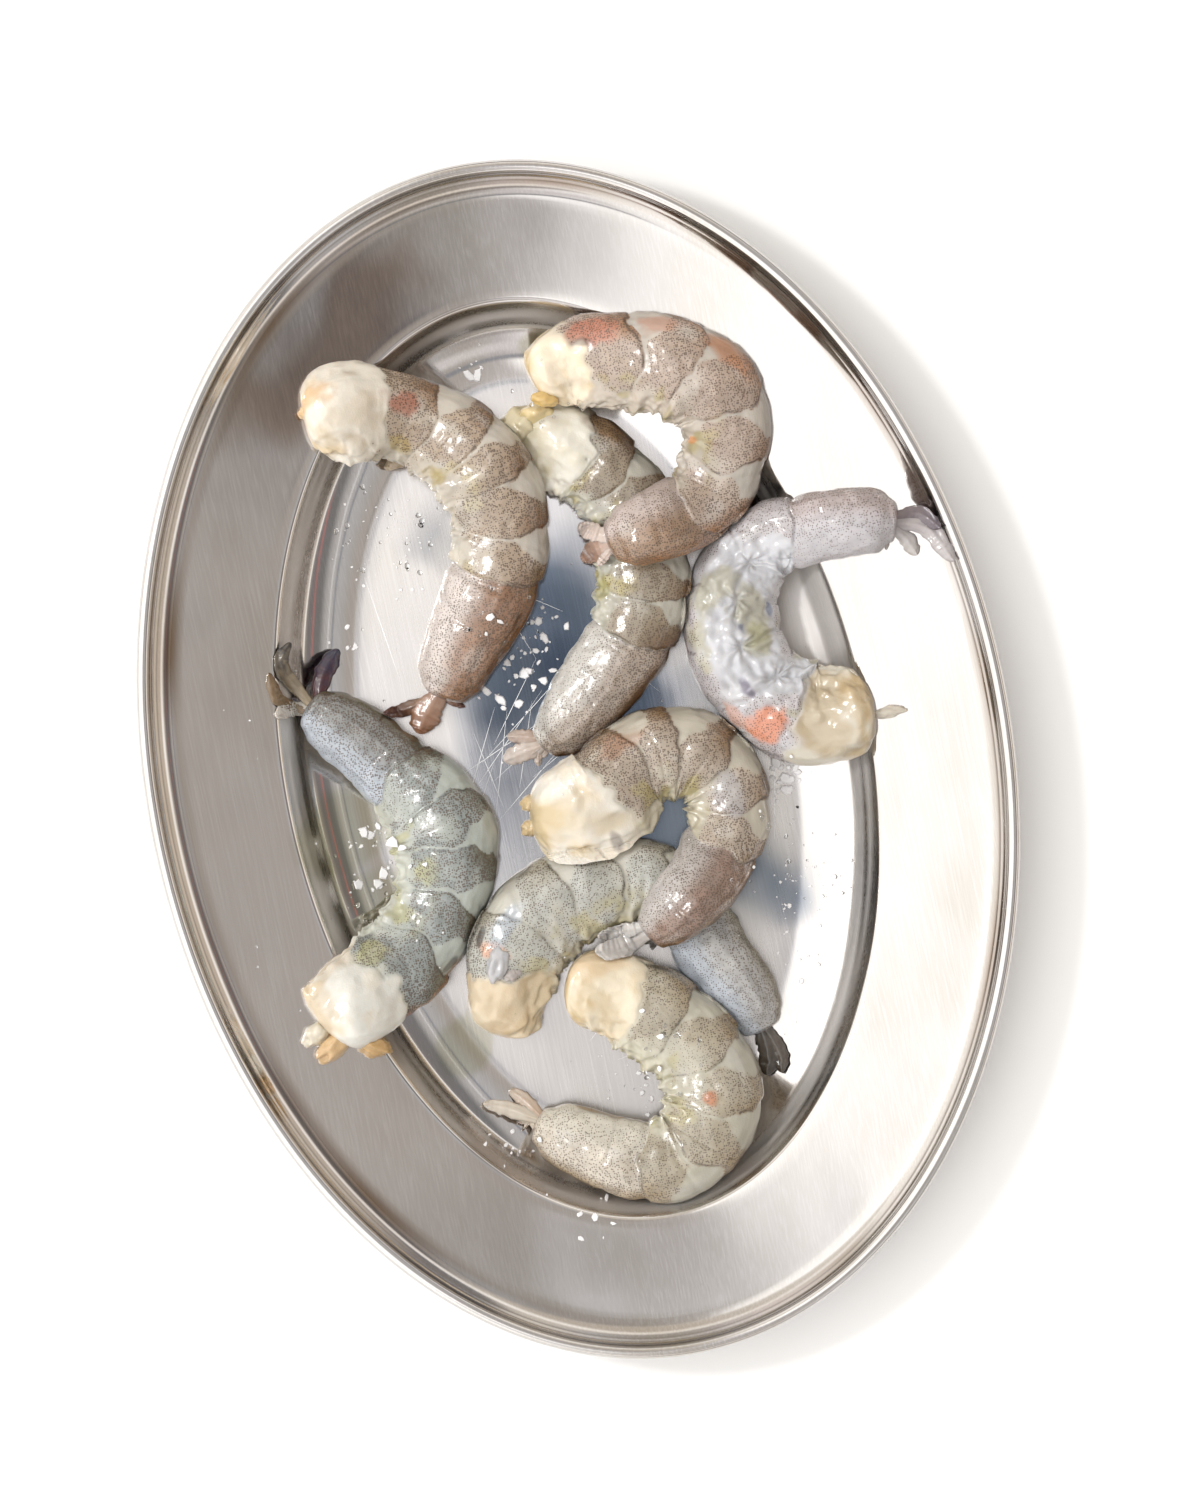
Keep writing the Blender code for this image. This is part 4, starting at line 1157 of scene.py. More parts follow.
def shrimps() -> tuple:
    """Return the eight shrimps, in the order in which they were laid down."""
    return (
        Shrimp(
            name="shrimp_left",
            route=((-76, -52, 21), (-66, -46, 23.5), (-52, -39, 23.5), (-41.5, -28, 22), (-37, -15, 26.5),
                   (-38.5, -4.5, 26), (-46, 7, 19.5), (-54.5, 18, 17.5), (-64, 27.5, 13)),
            lump_end=0.17, tail_start=0.72, roundness=0.72,
            palette=Palette(flesh=(196, 200, 192), tile=(147, 152, 151), back=(108, 106, 90),
                            lump=(229, 227, 219), tip=(232, 212, 182), tail=(142, 142, 140),
                            tail_belly=(182, 188, 196), belly=(212, 213, 202), olive=(186, 182, 132),
                            edge=(52, 48, 42), pigment=1.15),
            blades=(Blade(((-62, 26), (-67.4, 37.5), (-64.1, 43.4)), 4.0, (196, 180, 156), (84, 68, 58),
                          3.0),
                    Blade(((-61, 26.5), (-58.1, 33.7), (-53.1, 39.5)), 5.2, (112, 84, 80), (84, 84, 98),
                          2.5, 2.4),
                    Blade(((-62, 25.5), (-67.1, 27.2), (-71.5, 26)), 4.4, (214, 206, 196),
                          (222, 216, 208)),
                    Blade(((-63, 25), (-69.8, 30), (-70.8, 37)), 3.4, (164, 146, 124), (132, 112, 92))),
            blobs=(Blob(-73.0, -56.5, (6.0, 3.0, 4.0), 28, (222, 190, 148), 0.50),
                   Blob(-77.0, -53.0, (4.4, 2.8, 3.6), 30, (232, 224, 206), 0.45),
                   Blob(-64.5, -58.5, (4.6, 2.8, 4.0), -35, (206, 172, 126), 0.42)),
            accents=(Accent(0.20, 8, 7, 4, (196, 140, 96), 0.6),
                     Accent(0.27, 10, 6, 3.5, (186, 132, 92), 0.6),
                     Accent(0.29, 30, 3, 1.6, (62, 62, 64), 0.7)),
            back=-1, shreds=4, seed=3),
        Shrimp(
            name="shrimp_lower",
            route=((-35.5, -63.5, 17), (-30, -54.5, 21.5), (-25, -44, 25), (-15.5, -35.5, 24.5),
                   (-3, -32.5, 23), (10, -33.5, 21), (18.5, -41, 20), (22.5, -54, 18), (28.5, -66.5, 17),
                   (31.5, -77, 12)),
            lump_end=0.13, tail_start=0.69, roundness=0.70,
            palette=Palette(flesh=(210, 206, 194), tile=(186, 186, 180), back=(156, 150, 134),
                            lump=(222, 206, 180), tip=(226, 202, 166), tail=(172, 170, 168),
                            tail_belly=(184, 190, 198), belly=(206, 200, 182), olive=(190, 180, 138),
                            edge=(58, 52, 46), pigment=0.95),
            blades=(Blade(((30.5, -74), (31.4, -82), (29.7, -87.5)), 5.6, (128, 122, 116), (100, 94, 88),
                          0.5),
                    Blade(((31, -74), (34, -82), (33.5, -87.6)), 4.2, (136, 130, 124), (112, 106, 100))),
            blobs=(Blob(-30.0, -45.5, (4.6, 2.6, 2.4), 62, (205, 204, 206), 0.92),
                   Blob(-27.2, -49.0, (2.2, 1.6, 1.5), 20, (196, 188, 184), 0.90)),
            accents=(Accent(0.185, 60, 1.8, 5.0, (222, 166, 136), 0.7),
                     Accent(0.12, 150, 8, 7, (222, 206, 176), 0.5),
                     Accent(0.20, 40, 2.5, 1.4, (56, 58, 70), 0.8),
                     Accent(0.24, 60, 6, 3, (176, 186, 198), 0.6)),
            shreds=5, seed=11),
        Shrimp(
            name="shrimp_right",
            route=((75, -3.5, 18), (64.5, -2.5, 24), (57, -0.5, 26), (48.5, 8, 24), (44, 20, 24.5),
                   (47, 34, 22.5), (56, 43, 19.5), (69, 44, 17), (82, 43, 16.5), (90, 41, 13)),
            lump_end=0.17, tail_start=0.73, roundness=0.68,
            palette=Palette(flesh=(208, 206, 209), tile=(184, 178, 179), back=(170, 158, 156),
                            lump=(204, 197, 182), tip=(204, 180, 142), tail=(182, 170, 168),
                            tail_belly=(198, 194, 197), belly=(214, 214, 218), olive=(178, 172, 142),
                            edge=(98, 82, 78), pigment=0.95),
            blades=(Blade(((87.5, 41.5), (96.3, 37.8), (101, 28.4)), 4.8, (186, 178, 178),
                          (202, 196, 196), 1.0),
                    Blade(((87.5, 40.5), (90.9, 36.4), (92.7, 32)), 4.2, (196, 190, 190), (208, 202, 198)),
                    Blade(((87.5, 42), (94.7, 42), (99.5, 37.2)), 4.2, (158, 146, 146), (124, 116, 124),
                          0.6)),
            blobs=(Blob(77.5, -4.6, (4.4, 1.4, 1.1), -2, (222, 214, 200), 0.45),
                   Blob(36.6, 27.0, (11.0, 2.2, 1.6), 84, (206, 203, 212), 0.40)),
            accents=(Accent(0.235, 54, 4, 6, (216, 150, 124), 0.95),
                     Accent(0.29, 35, 4, 3, (208, 160, 140), 0.6),
                     Accent(0.40, 120, 6, 4, (178, 174, 142), 0.7),
                     Accent(0.31, 75, 3, 1.6, (106, 98, 122), 0.7),
                     Accent(0.50, 145, 3, 1.4, (118, 128, 152), 0.7),
                     Accent(0.45, 100, 1.8, 1.2, (96, 102, 122), 0.7),
                     Accent(0.43, 5, 2.0, 1.8, (156, 112, 96), 0.7)),
            belly_up=((0, 20), (0.2, 35), (0.32, 85), (0.62, 85), (0.74, 30), (1, 20)),
            seed=23),
        Shrimp(
            name="shrimp_centre",
            route=((1, 84.5, 17), (12, 77, 22), (20.5, 69, 22), (26.5, 56, 22), (25.5, 42, 23),
                   (20, 28.5, 22), (9.5, 18, 20), (-1, 9.5, 16.5), (-9, 4.5, 10)),
            lump_end=0.16, tail_start=0.65, roundness=0.70,
            palette=Palette(flesh=(200, 197, 186), tile=(150, 137, 120), back=(128, 102, 76),
                            lump=(226, 221, 209), tip=(226, 212, 170), tail=(170, 158, 147),
                            tail_belly=(204, 200, 194), belly=(208, 205, 192), edge=(84, 64, 48),
                            pigment=1.05),
            blades=(Blade(((-6.5, 5.5), (-13.3, 4.6), (-18.5, 3.4)), 5.4, (206, 188, 174),
                          (224, 212, 204)),
                    Blade(((-6.5, 6.5), (-12.6, 8.4), (-16.5, 9.2)), 4.0, (186, 160, 142),
                          (214, 198, 188))),
            blobs=(Blob(2.6, 84.4, (5.2, 4.2, 4.6), 30, (228, 216, 184), 0.62),
                   Blob(-1.0, 80.6, (3.4, 2.8, 3.0), 60, (230, 220, 190), 0.50),
                   Blob(7.8, 86.2, (4.4, 3.2, 3.4), 10, (232, 212, 166), 0.72)),
            accents=(Accent(0.19, 20, 7, 6, (152, 118, 88), 0.5),
                     Accent(0.55, 150, 6, 4, (184, 178, 128), 0.6)),
            seed=31),
        Shrimp(
            name="shrimp_top_left",
            route=((-49.5, 95.5, 20), (-37, 95.5, 23.5), (-26.5, 93, 21), (-15, 85, 23.5), (-8, 73, 25),
                   (-7, 60, 23.5), (-12.5, 46.5, 23.5), (-21.5, 35, 20.5), (-31, 21.5, 14)),
            lump_end=0.175, tail_start=0.68, roundness=0.72,
            palette=Palette(flesh=(212, 205, 194), tile=(172, 155, 138), back=(134, 104, 76),
                            lump=(240, 232, 218), tip=(232, 212, 180), tail=(156, 128, 110),
                            tail_belly=(214, 204, 198), belly=(214, 206, 192), olive=(194, 180, 138),
                            edge=(78, 58, 44), pigment=1.1),
            blades=(Blade(((-30, 24), (-35.3, 18.7), (-37.7, 14.4)), 7.8, (190, 160, 142),
                          (160, 122, 100), 0.8, 2.6),
                    Blade(((-32, 22.5), (-40.9, 21.2), (-45.4, 21.3)), 3.6, (160, 132, 112),
                          (108, 84, 70))),
            blobs=(Blob(-46.8, 98.0, (3.2, 2.0, 2.2), 20, (232, 200, 158), 0.62),
                   Blob(-28.5, 82.0, (3.6, 1.6, 1.6), 10, (190, 172, 148), 0.35),
                   Blob(-16.5, 74.0, (2.2, 1.8, 1.6), 10, (204, 190, 164), 0.3)),
            accents=(Accent(0.22, 70, 4.5, 3.5, (172, 108, 86), 0.7),
                     Accent(0.03, 60, 6, 4, (234, 194, 148), 0.7),
                     Accent(0.24, 130, 3.5, 3, (176, 156, 100), 0.6),
                     Accent(0.37, 140, 4, 3, (190, 172, 122), 0.6)),
            seed=41),
        Shrimp(
            name="shrimp_bottom",
            route=((-16, -55.5, 17), (-6, -58.5, 22.5), (5, -66, 24), (14, -78, 23.5), (15, -91, 24.5),
                   (6, -101.5, 22), (-7, -100.5, 20), (-19, -94, 17.5), (-30, -86.5, 12)),
            lump_end=0.15, tail_start=0.71, roundness=0.72,
            palette=Palette(flesh=(204, 200, 186), tile=(172, 163, 146), back=(162, 144, 118),
                            lump=(231, 219, 196), tip=(228, 204, 162), tail=(206, 197, 184),
                            tail_belly=(214, 208, 196), belly=(210, 205, 186), olive=(188, 180, 140),
                            edge=(88, 70, 54), pigment=0.95),
            blades=(Blade(((-27.5, -87), (-34.9, -82.5), (-41.4, -79.5)), 4.4, (210, 198, 180),
                          (224, 214, 202)),
                    Blade(((-27.5, -86), (-31.4, -80.6), (-34.3, -77.7)), 4.2, (200, 174, 152),
                          (216, 202, 188))),
            accents=(Accent(0.47, 95, 2.4, 2.0, (188, 120, 78), 0.8),
                     Accent(0.05, 40, 8, 6, (226, 192, 146), 0.5),
                     Accent(0.19, 20, 3, 1.6, (84, 66, 52), 0.6),
                     Accent(0.84, 170, 11, 2.2, (150, 124, 90), 0.6)),
            shreds=6, seed=53),
        Shrimp(
            name="shrimp_top_right",
            route=((7.5, 94, 18), (18, 97, 21.5), (30, 94.5, 24), (43, 90, 24.5), (52, 80.5, 24),
                   (52, 69, 21), (44.5, 57, 20), (33, 53, 19), (17.5, 50.5, 13)),
            lump_end=0.12, tail_start=0.75, roundness=0.70,
            palette=Palette(flesh=(208, 201, 191), tile=(178, 160, 147), back=(158, 120, 92),
                            lump=(239, 225, 202), tip=(232, 204, 152), tail=(166, 143, 125),
                            tail_belly=(194, 180, 174), belly=(215, 204, 190), edge=(80, 56, 44),
                            pigment=1.05),
            blades=(Blade(((20, 50.5), (15, 50), (11, 48.7)), 5.6, (206, 184, 172), (188, 154, 136)),
                    Blade(((20, 51.5), (15.1, 54.6), (12.2, 57.6)), 4.8, (216, 200, 190), (224, 208, 200))),
            blobs=(Blob(10.5, 89.0, (3.4, 1.8, 2.0), -20, (228, 196, 136), 0.5),),
            accents=(Accent(0.165, 50, 6, 5, (190, 122, 100), 0.75),
                     Accent(0.14, 70, 2.2, 1.2, (92, 66, 54), 0.5),
                     Accent(0.30, 40, 5, 4, (192, 142, 118), 0.6),
                     Accent(0.44, 35, 6, 5, (186, 136, 104), 0.8),
                     Accent(0.60, 140, 1.6, 1.6, (226, 156, 106), 0.7)),
            seed=61),
        Shrimp(
            name="shrimp_middle",
            route=((-15.5, -11.5, 19), (-4, -12.5, 24), (5, -10.5, 26.5), (14, -4, 23), (26, -4, 23.5),
                   (34, -12, 20.5), (34, -22, 20.5), (27, -33, 19.5), (17, -41, 17), (7, -47, 12)),
            lump_end=0.20, tail_start=0.70, roundness=0.70,
            palette=Palette(flesh=(204, 197, 182), tile=(176, 163, 150), back=(140, 116, 92),
                            lump=(230, 224, 213), tip=(232, 210, 170), tail=(152, 132, 122),
                            tail_belly=(190, 184, 180), belly=(208, 200, 180), edge=(62, 48, 40),
                            pigment=1.1),
            blades=(Blade(((9.5, -45.5), (0.4, -48), (-6, -47.6)), 5.6, (206, 200, 196), (222, 218, 214)),
                    Blade(((9, -44), (0.6, -44.4), (-4.6, -44.2)), 4.0, (212, 208, 204), (228, 224, 220))),
            blobs=(Blob(-14.0, -8.2, (2.6, 1.9, 2.2), 10, (230, 206, 166), 0.5),
                   Blob(-15.0, -14.2, (2.6, 2.0, 2.2), 20, (228, 204, 164), 0.45)),
            accents=(Accent(0.30, 50, 5, 4, (170, 126, 102), 0.5),
                     Accent(0.17, 150, 1.0, 5, (98, 80, 64), 0.5),
                     Accent(0.58, 90, 6, 5, (166, 164, 172), 0.5)),
            shreds=6, seed=73),
    )


@dataclass(frozen=True)
class Scatter:
    """Small things strewn in patches: x, y, radius, number, least and largest size.

    The smallness is the power that favours small sizes.
    """

    name: str
    seed: int
    smallness: float
    patches: tuple


def strewn(scatter: Scatter) -> tuple:
    """Return arrays of x, y, size and spin of strewn things."""
    draw = np.random.default_rng(scatter.seed)
    found = []
    for x, y, radius, number, least, largest in scatter.patches:
        angle = draw.uniform(0, 2 * math.pi, number)
        distance = radius * np.sqrt(draw.uniform(0, 1, number))
        size = least + (largest - least) * draw.uniform(0, 1, number) ** scatter.smallness
        spin = draw.uniform(0, 2 * math.pi, number)
        found.append(np.stack([x + distance * np.cos(angle), y + distance * np.sin(angle), size, spin]))
    return tuple(np.concatenate(found, axis=1))


SALT = Scatter("salt_flakes", 11, 2.2,
               ((-7, 31, 12, 60, 0.6, 3.4), (-14, 18, 8, 14, 0.6, 3.0), (-16, 18.5, 0.1, 1, 4.6, 4.8),
                (-9, 24, 2, 2, 3.4, 4.2), (-5, 103, 5, 6, 0.6, 1.6), (-6, 99, 1.5, 2, 3.2, 4.0),
                (-51, 40, 5, 5, 0.8, 3.4), (-54, -14, 9, 34, 0.6, 3.6), (-44, -12, 6, 12, 0.8, 3.0),
                (-35, 62, 16, 46, 0.3, 1.1), (48, -14, 6, 16, 0.8, 4.6), (44, -20, 5, 14, 0.6, 2.4),
                (50, -40, 14, 20, 0.4, 1.3), (0, -80, 13, 34, 0.4, 1.8), (-36, -92, 9, 14, 0.8, 2.4),
                (-20, -107, 13, 16, 0.7, 2.6), (0, 0, 90, 70, 0.3, 0.9), (-13, 77, 6, 3, 1.2, 2.6),
                (9, -66, 8, 6, 1.2, 3.0), (17, -80, 6, 5, 1.2, 2.8), (26, -36, 3, 2, 1.6, 2.8),
                (-45, -30, 8, 5, 0.6, 1.6), (45, 60, 10, 4, 0.6, 1.4), (51.5, -16, 3.5, 12, 1.4, 3.8),
                (50, -46, 9, 26, 0.5, 1.8), (43, -60, 7, 12, 0.5, 1.6)))

# the share of the salt flakes on the food that stay there
SALT_KEPT_ON_FOOD = 0.16

# the angles of a drop's rings, in degrees above its middle
DROP_ANGLES = (-12, 8, 30, 52, 72)

DROPS = Scatter("water_drops", 7, 2.0,
                ((-35, 66, 14, 34, 0.4, 1.7), (-12, 38, 10, 16, 0.4, 1.2), (4, -78, 12, 24, 0.5, 1.7),
                 (8, 90, 10, 8, 0.4, 1.2), (46, -34, 12, 16, 0.5, 1.6), (-60, -20, 12, 10, 0.5, 1.6),
                 (0, 0, 95, 50, 0.3, 0.9)))


def build_salt(ground: Ground) -> bpy.types.Object:
    """Return the salt flakes: thin uneven six-sided plates lying on the ground.

    Corner k of a flake lies at angle k/6 of a turn, at half the flake's size
    times a random share; the upper outline is smaller than the lower one.
    """
    flakes = np.array(strewn(SALT))
    draw = np.random.default_rng(SALT.seed + 1)
    cells = ground.cells(flakes[0], flakes[1])
    on_food = ground.top[cells] - ground.bare[cells] > 0.6
    x, y, size, spin = flakes[:, ~on_food | (draw.uniform(0, 1, len(on_food)) < SALT_KEPT_ON_FOOD)]
    count = len(x)
    turn = spin[:, None] + np.arange(6) / 6 * 2 * math.pi
    reach = size[:, None] / 2 * draw.uniform(0.6, 1.15, (count, 6))
    squash = draw.uniform(0.55, 1.0, count)[:, None]
    plan = np.stack([reach * np.cos(turn), reach * squash * np.sin(turn)], axis=-1)
    cosine, sine = np.cos(spin)[:, None], np.sin(spin)[:, None]
    along, across = plan[..., 0], plan[..., 1]
    plan = np.stack([along * cosine - across * sine, along * sine + across * cosine], axis=-1)
    thickness = (0.18 + 0.16 * size)[:, None]
    rise_x, rise_y = ground.slope(x, y)
    tilt_x = np.clip(rise_x, -0.5, 0.5) + draw.normal(0, 0.12, count)
    tilt_y = np.clip(rise_y, -0.5, 0.5) + draw.normal(0, 0.12, count)
    base = ground.top[ground.cells(x, y)] + 0.05
    corner = ground.top[ground.cells(x[:, None] + plan[..., 0], y[:, None] + plan[..., 1])]
    sunk = corner - base[:, None] - tilt_x[:, None] * plan[..., 0] - tilt_y[:, None] * plan[..., 1]
    base = base + np.clip(sunk.max(axis=1), 0, 0.8)
    levels = []
    for grow, level in ((0.92, 0.0), (1.0, 0.5), (0.78, 1.0)):
        flat = plan * grow
        bent = tilt_x[:, None] * flat[..., 0] + tilt_y[:, None] * flat[..., 1]
        height = base[:, None] + bent + thickness * level
        levels.append(np.stack([x[:, None] + flat[..., 0], y[:, None] + flat[..., 1], height], axis=-1))
    rings = np.stack(levels, axis=1)
    rings[..., 2] = np.maximum(rings[..., 2], 0.1)
    return closed_stacks(SALT.name, rings, clear_material(ClearKind.SALT), smooth=False)


def build_drops(ground: Ground) -> bpy.types.Object:
    """Return water drops: low domes with an uneven round outline.

    Ring j of a drop has radius cos(a) and height sin(a) of the drop's, where
    a runs from just below the ground to near the top.
    """
    x, y, size, spin = strewn(DROPS)
    turn = np.arange(16) / 16 * 2 * math.pi
    outline = 1 + 0.12 * np.sin(2 * turn + spin[:, None]) + 0.07 * np.sin(3 * turn - 2 * spin[:, None])
    angles = np.radians(DROP_ANGLES)
    height = ground.top[ground.cells(x, y)] + 0.02
    levels = []
    for angle in angles:
        reach = size[:, None] / 2 * math.cos(angle) * outline
        level = height[:, None] + (math.sin(angle) - math.sin(angles[0])) * 0.34 * size[:, None]
        place = [x[:, None] + reach * np.cos(turn), y[:, None] + reach * np.sin(turn)]
        levels.append(np.stack([*place, np.broadcast_to(level, reach.shape)], axis=-1))
    rings = np.stack(levels, axis=1)
    return closed_stacks(DROPS.name, rings, clear_material(ClearKind.WATER), smooth=True)


def closed_stacks(name: str, rings: np.ndarray, material: bpy.types.Material,
                  smooth: bool) -> bpy.types.Object:
    """Return many small closed solids as one object.

    Args:
        name: the object's name.
        rings: points by solid, ring from the bottom up, side and coordinate.
        material: the finish.
        smooth: whether faces are shaded smooth.

    Returns:
        The object, with fans closing each solid's bottom and top.
    """
    count, levels, sides = rings.shape[:3]
    low = rings[:, 0].mean(axis=1)[:, None]
    high = rings[:, -1].mean(axis=1)[:, None]
    points = np.concatenate([rings.reshape(count, -1, 3), low, high], axis=1)
    level, side = np.meshgrid(np.arange(levels - 1), np.arange(sides), indexing="ij")
    near = (level * sides + side).ravel()
    beside = (level * sides + (side + 1) % sides).ravel()
    walls = np.stack([near, beside, beside + sides, near + sides], axis=-1)
    around = np.arange(sides)
    turned = (around + 1) % sides
    centre = np.full(sides, levels * sides)
    bottom = np.stack([centre, turned, around, around], axis=-1)
    top_ring = (levels - 1) * sides
    top = np.stack([centre + 1, top_ring + around, top_ring + turned, top_ring + turned], axis=-1)
    one = np.vstack([walls, bottom, top])
    faces = (one[None] + (np.arange(count) * points.shape[1])[:, None, None]).reshape(-1, 4)
    parts = MeshParts()
    parts.add(points.reshape(-1, 3), faces, np.ones(3), 0.0)
    item = parts.build(name, material)
    item.data.polygons.foreach_set("use_smooth", np.full(len(item.data.polygons), smooth))
    return item


@dataclass(frozen=True)
class Scratches:
    """Long bright scratches on the base: start x, y, heading in degrees, length."""

    lines: tuple = ((-18, 17, -118, 34), (-15, 16, -108, 30), (-24, 4, 36, 44), (-22, -1, 30, 46),
                    (-27, -2, 44, 30), (-30, 2, 22, 30), (-20, 8, 52, 24), (-16, -4, 70, 22),
                    (-24, -12, 38, 30), (-21, -8, 100, 20), (12, 26, -50, 18), (16, 20, 40, 16),
                    (-12, -2, 28, 26), (-30, -12, 60, 18), (-10, 40, -70, 14), (-6, 44, -35, 12),
                    (14, 30, 62, 12), (22, 16, 118, 16), (26, 22, 80, 12), (-44, 60, 84, 30),
                    (-40, 30, 97, 26), (44, -30, 78, 26), (-6, -76, 8, 20), (-12, -70, 40, 16))
    width: float = 0.14
    height: float = 0.03

    def build(self, material: bpy.types.Material, platter: Platter) -> bpy.types.Object:
        """Return the scratches' raised burrs as thin tapered slivers."""
        x, y, heading, length = np.array(self.lines, float).T
        heading = np.radians(heading)
        share = np.linspace(0, 1, 5)
        half = self.width / 2 * np.array([0.2, 0.9, 1.0, 0.7, 0.15])
        middle_x = x[:, None] + np.cos(heading)[:, None] * length[:, None] * share
        middle_y = y[:, None] + np.sin(heading)[:, None] * length[:, None] * share
        side_x = -np.sin(heading)[:, None] * half
        side_y = np.cos(heading)[:, None] * half
        out_x = np.concatenate([middle_x + side_x, (middle_x - side_x)[:, ::-1]], axis=1)
        out_y = np.concatenate([middle_y + side_y, (middle_y - side_y)[:, ::-1]], axis=1)
        low = np.full_like(out_x, platter.sheet)
        rings = np.stack([np.stack([out_x, out_y, low - 0.12], axis=-1),
                          np.stack([out_x, out_y, low + self.height], axis=-1)], axis=1)
        return closed_stacks("scratches", rings[:, :, ::-1], material, smooth=False)


@dataclass(frozen=True)
class Panel:
    """A soft-edged panel of the room, seen from the platter.

    The centre is where its direction falls on the plan, in shares of one, the
    heading turns its long side, and reach is half its length and breadth.
    """

    center: tuple
    heading: float
    reach: tuple
    soft: float
    color: tuple
    strength: float = 1.0

    def paint(self, room: NodeTree, direction: bpy.types.NodeSocket,
              under: bpy.types.NodeSocket) -> bpy.types.NodeSocket:
        """Return the room's glow with this panel in it.

        Args:
            room: the world's nodes.
            direction: the direction looked in.
            under: the glow without the panel.

        Returns:
            The colour with the panel mixed in.
        """
        cosine, sine = math.cos(math.radians(self.heading)), math.sin(math.radians(self.heading))
        share = self.strength
        for axis, reach in (((cosine, sine, 0.0), self.reach[0]), ((-sine, cosine, 0.0), self.reach[1])):
            along = room.node("ShaderNodeVectorMath", operation="DOT_PRODUCT")
            along.inputs[1].default_value = axis
            room.join(direction, along.inputs[0])
            middle = axis[0] * self.center[0] + axis[1] * self.center[1]
            offset = room.math("SUBTRACT", along.outputs["Value"], middle)
            share = room.math("MULTIPLY", room.within(offset, reach, self.soft), share)
        return room.blend(share, under, self.color)


@dataclass(frozen=True)
class Band:
    """A level band round the room: its middle's height as a share of one, half its breadth and its edge."""

    height: float
    reach: float
    soft: float
    color: tuple
    strength: float

    def paint(self, room: NodeTree, height: bpy.types.NodeSocket,
              under: bpy.types.NodeSocket) -> bpy.types.NodeSocket:
        """Return the room's glow with this band in it."""
        inside = room.within(room.math("SUBTRACT", height, self.height), self.reach, self.soft)
        return room.blend(room.math("MULTIPLY", inside, self.strength), under, self.color)


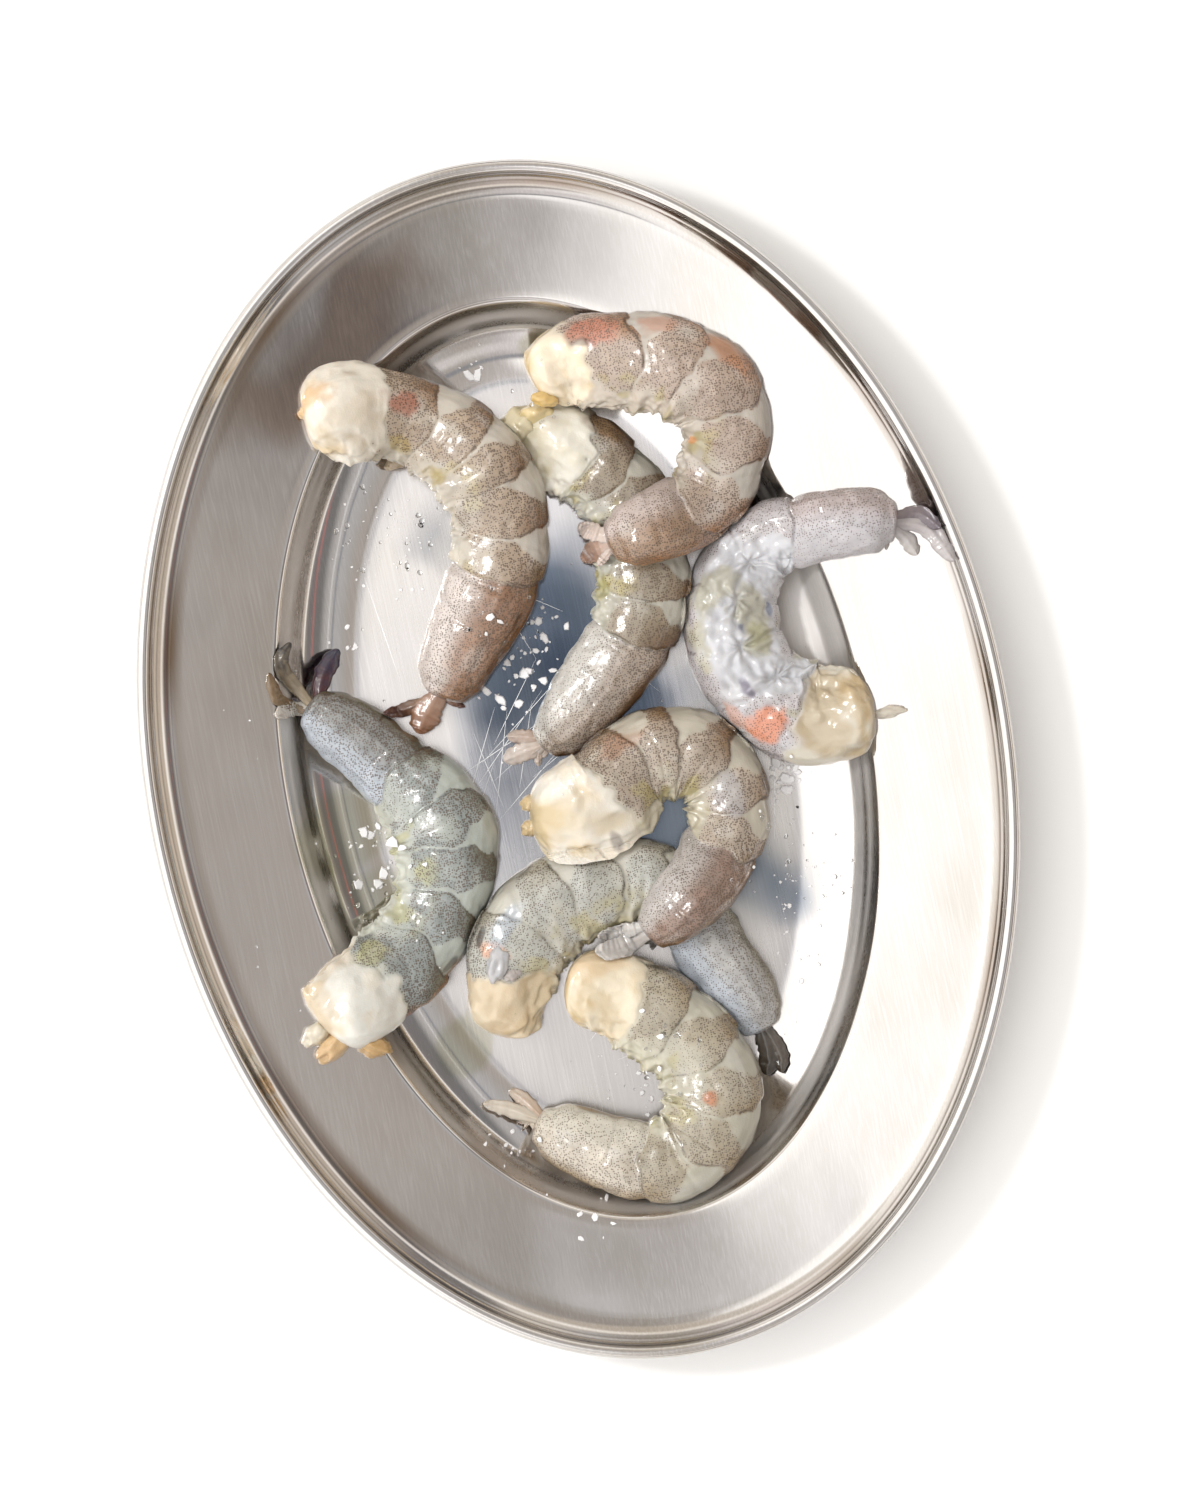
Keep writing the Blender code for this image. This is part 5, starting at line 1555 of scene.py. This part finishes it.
@dataclass(frozen=True)
class Studio:
    """Camera, light and floor. The camera looks straight down on the platter.

    The ramp colours the room from left to right. The camera is placed in
    millimetres, the key light and the floor in metres.
    """

    center: tuple = (5.75, 1.2)
    turn: float = math.radians(12)
    rim_height: float = 22.0
    distance: float = 1128.0
    frame_height: float = 370.1
    sensor: float = 36.0
    glow: float = 2.0
    ramp: tuple = ((-1.0, (0.90, 0.89, 0.87)), (-0.60, (0.92, 0.92, 0.90)), (-0.25, (0.68, 0.66, 0.65)),
                   (-0.05, (0.38, 0.36, 0.35)), (0.10, (0.31, 0.29, 0.265)), (0.20, (0.30, 0.28, 0.26)),
                   (0.38, (0.34, 0.34, 0.34)), (0.55, (0.34, 0.33, 0.32)), (0.62, (0.14, 0.14, 0.14)),
                   (0.76, (0.15, 0.14, 0.14)), (0.85, (0.38, 0.34, 0.29)), (1.0, (0.42, 0.36, 0.29)))
    panels: tuple = (
        Panel((-0.43, 0.12), 0, (0.37, 0.50), 0.04, (0.94, 0.93, 0.91)),
        Panel((0.00, 0.014), 0, (0.062, 0.066), 0.028, (0.93, 0.93, 0.96), 0.95),
        Panel((0.077, -0.072), 37, (0.060, 0.020), 0.012, (0.17, 0.145, 0.13), 0.85),
        Panel((0.080, -0.074), 37, (0.055, 0.007), 0.005, (0.07, 0.09, 0.13), 0.9),
        Panel((0.0, -0.42), 0, (0.35, 0.030), 0.02, (0.17, 0.18, 0.20), 0.85),
        Panel((0.0, -0.58), 0, (0.35, 0.060), 0.04, (0.52, 0.50, 0.49), 0.8),
        Panel((0.0, -0.80), 0, (0.40, 0.050), 0.03, (0.20, 0.18, 0.17), 0.8),
        Panel((0.0, 0.72), 0, (0.60, 0.160), 0.05, (0.50, 0.46, 0.40), 0.8),
        Panel((0.44, 0.0), 90, (0.5, 0.010), 0.006, (0.12, 0.13, 0.16), 0.8),
        Panel((0.50, -0.1), 90, (0.4, 0.006), 0.004, (0.75, 0.75, 0.76), 0.7),
        Panel((0.70, -0.1), 90, (0.3, 0.006), 0.004, (0.55, 0.16, 0.13), 0.7),
        Panel((0.0, 0.0), 0, (0.040, 0.046), 0.018, (0.07, 0.09, 0.12), 0.95))
    bands: tuple = (
        Band(0.45, 0.07, 0.06, (0.86, 0.84, 0.80), 0.85),
        Band(0.00, 0.12, 0.10, (0.14, 0.12, 0.10), 0.70))
    key_place: tuple = (-0.85, 0.42, 1.15)
    key_size: float = 0.18
    key_energy: float = 7.0
    floor_reach: float = 1.5
    floor_height: float = -0.0002

    def add_camera(self) -> None:
        """Add the camera, turned so that the platter's top leans left."""
        data = bpy.data.cameras.new("camera")
        data.sensor_width = self.sensor
        data.lens = self.sensor * self.distance / self.frame_height
        data.clip_start = 0.01
        camera = bpy.data.objects.new("camera", data)
        place = Vector((*self.center, self.rim_height + self.distance)) * METRE
        camera.matrix_world = Matrix.Translation(place) @ Matrix.Rotation(-self.turn, 4, "Z")
        bpy.context.scene.collection.objects.link(camera)
        bpy.context.scene.camera = camera

    def add_sky(self) -> None:
        """Add the room as a soft glow, from a plain ramp and the panels over it."""
        world = bpy.data.worlds.new("room")
        world.use_nodes = True
        bpy.context.scene.world = world
        room = NodeTree(world.node_tree)
        direction = room.node("ShaderNodeTexCoord").outputs["Generated"]
        split = room.node("ShaderNodeSeparateXYZ")
        room.join(direction, split.inputs[0])
        ramp = room.node("ShaderNodeValToRGB")
        while len(ramp.color_ramp.elements) < len(self.ramp):
            ramp.color_ramp.elements.new(0.5)
        for element, (place, color) in zip(ramp.color_ramp.elements, self.ramp):
            element.position = place / 2 + 0.5
            element.color = (*color, 1.0)
        across = room.math("ADD", room.math("MULTIPLY", split.outputs["X"], 0.5), 0.5)
        room.join(across, ramp.inputs[0])
        glow = ramp.outputs[0]
        for panel in self.panels:
            glow = panel.paint(room, direction, glow)
        for band in self.bands:
            glow = band.paint(room, split.outputs["Z"], glow)
        background = room.tree.nodes["Background"]
        background.inputs["Strength"].default_value = self.glow
        room.join(glow, background.inputs["Color"])

    def add_key(self) -> None:
        """Add a soft key light at the upper left, for glints and shadows."""
        data = bpy.data.lights.new("key", "AREA")
        data.shape = "DISK"
        data.size = self.key_size
        data.energy = self.key_energy
        key = bpy.data.objects.new("key", data)
        place = Vector(self.key_place)
        key.matrix_world = Matrix.Translation(place) @ place.to_track_quat("Z", "Y").to_matrix().to_4x4()
        bpy.context.scene.collection.objects.link(key)

    def add_floor(self) -> None:
        """Add the white table top."""
        mesh = bpy.data.meshes.new("table_top")
        sides = ((-1, -1), (1, -1), (1, 1), (-1, 1))
        corners = [(x * self.floor_reach, y * self.floor_reach, self.floor_height) for x, y in sides]
        mesh.from_pydata(corners, [], [(0, 1, 2, 3)])
        mesh.materials.append(plain_material("white_table", (254, 254, 254), 0.7, 0.0))
        floor = bpy.data.objects.new("table_top", mesh)
        bpy.context.scene.collection.objects.link(floor)

    def build(self) -> None:
        """Add everything that isn't part of the object."""
        self.add_camera()
        self.add_sky()
        self.add_key()
        self.add_floor()
        bpy.context.scene.view_settings.view_transform = "Standard"


def main() -> None:
    """Load the frame, build every piece, and light it."""
    logging.basicConfig(level=logging.INFO, format="%(message)s")
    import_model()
    platter = Platter()
    ground = Ground(platter)
    steel = SteelFinish().build()
    dish = platter.build(steel, WetAndPaintedReflections())
    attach(dish, "root")
    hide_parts("platter")
    log.info("platter: %d faces", len(dish.data.polygons))
    flesh = FleshFinish().build()
    for shrimp in shrimps():
        piece = shrimp.build(flesh, ground)
        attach(piece, "root")
        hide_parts(shrimp.name)
        log.info("%s: %d faces", shrimp.name, len(piece.data.polygons))
    burr = plain_material("scratched_steel", (250, 250, 250), 0.55, 1.0)
    for piece in (Scratches().build(burr, platter), build_salt(ground), build_drops(ground)):
        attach(piece, "root")
        log.info("%s: %d faces", piece.name, len(piece.data.polygons))
    Studio().build()


if __name__ == "__main__":
    main()
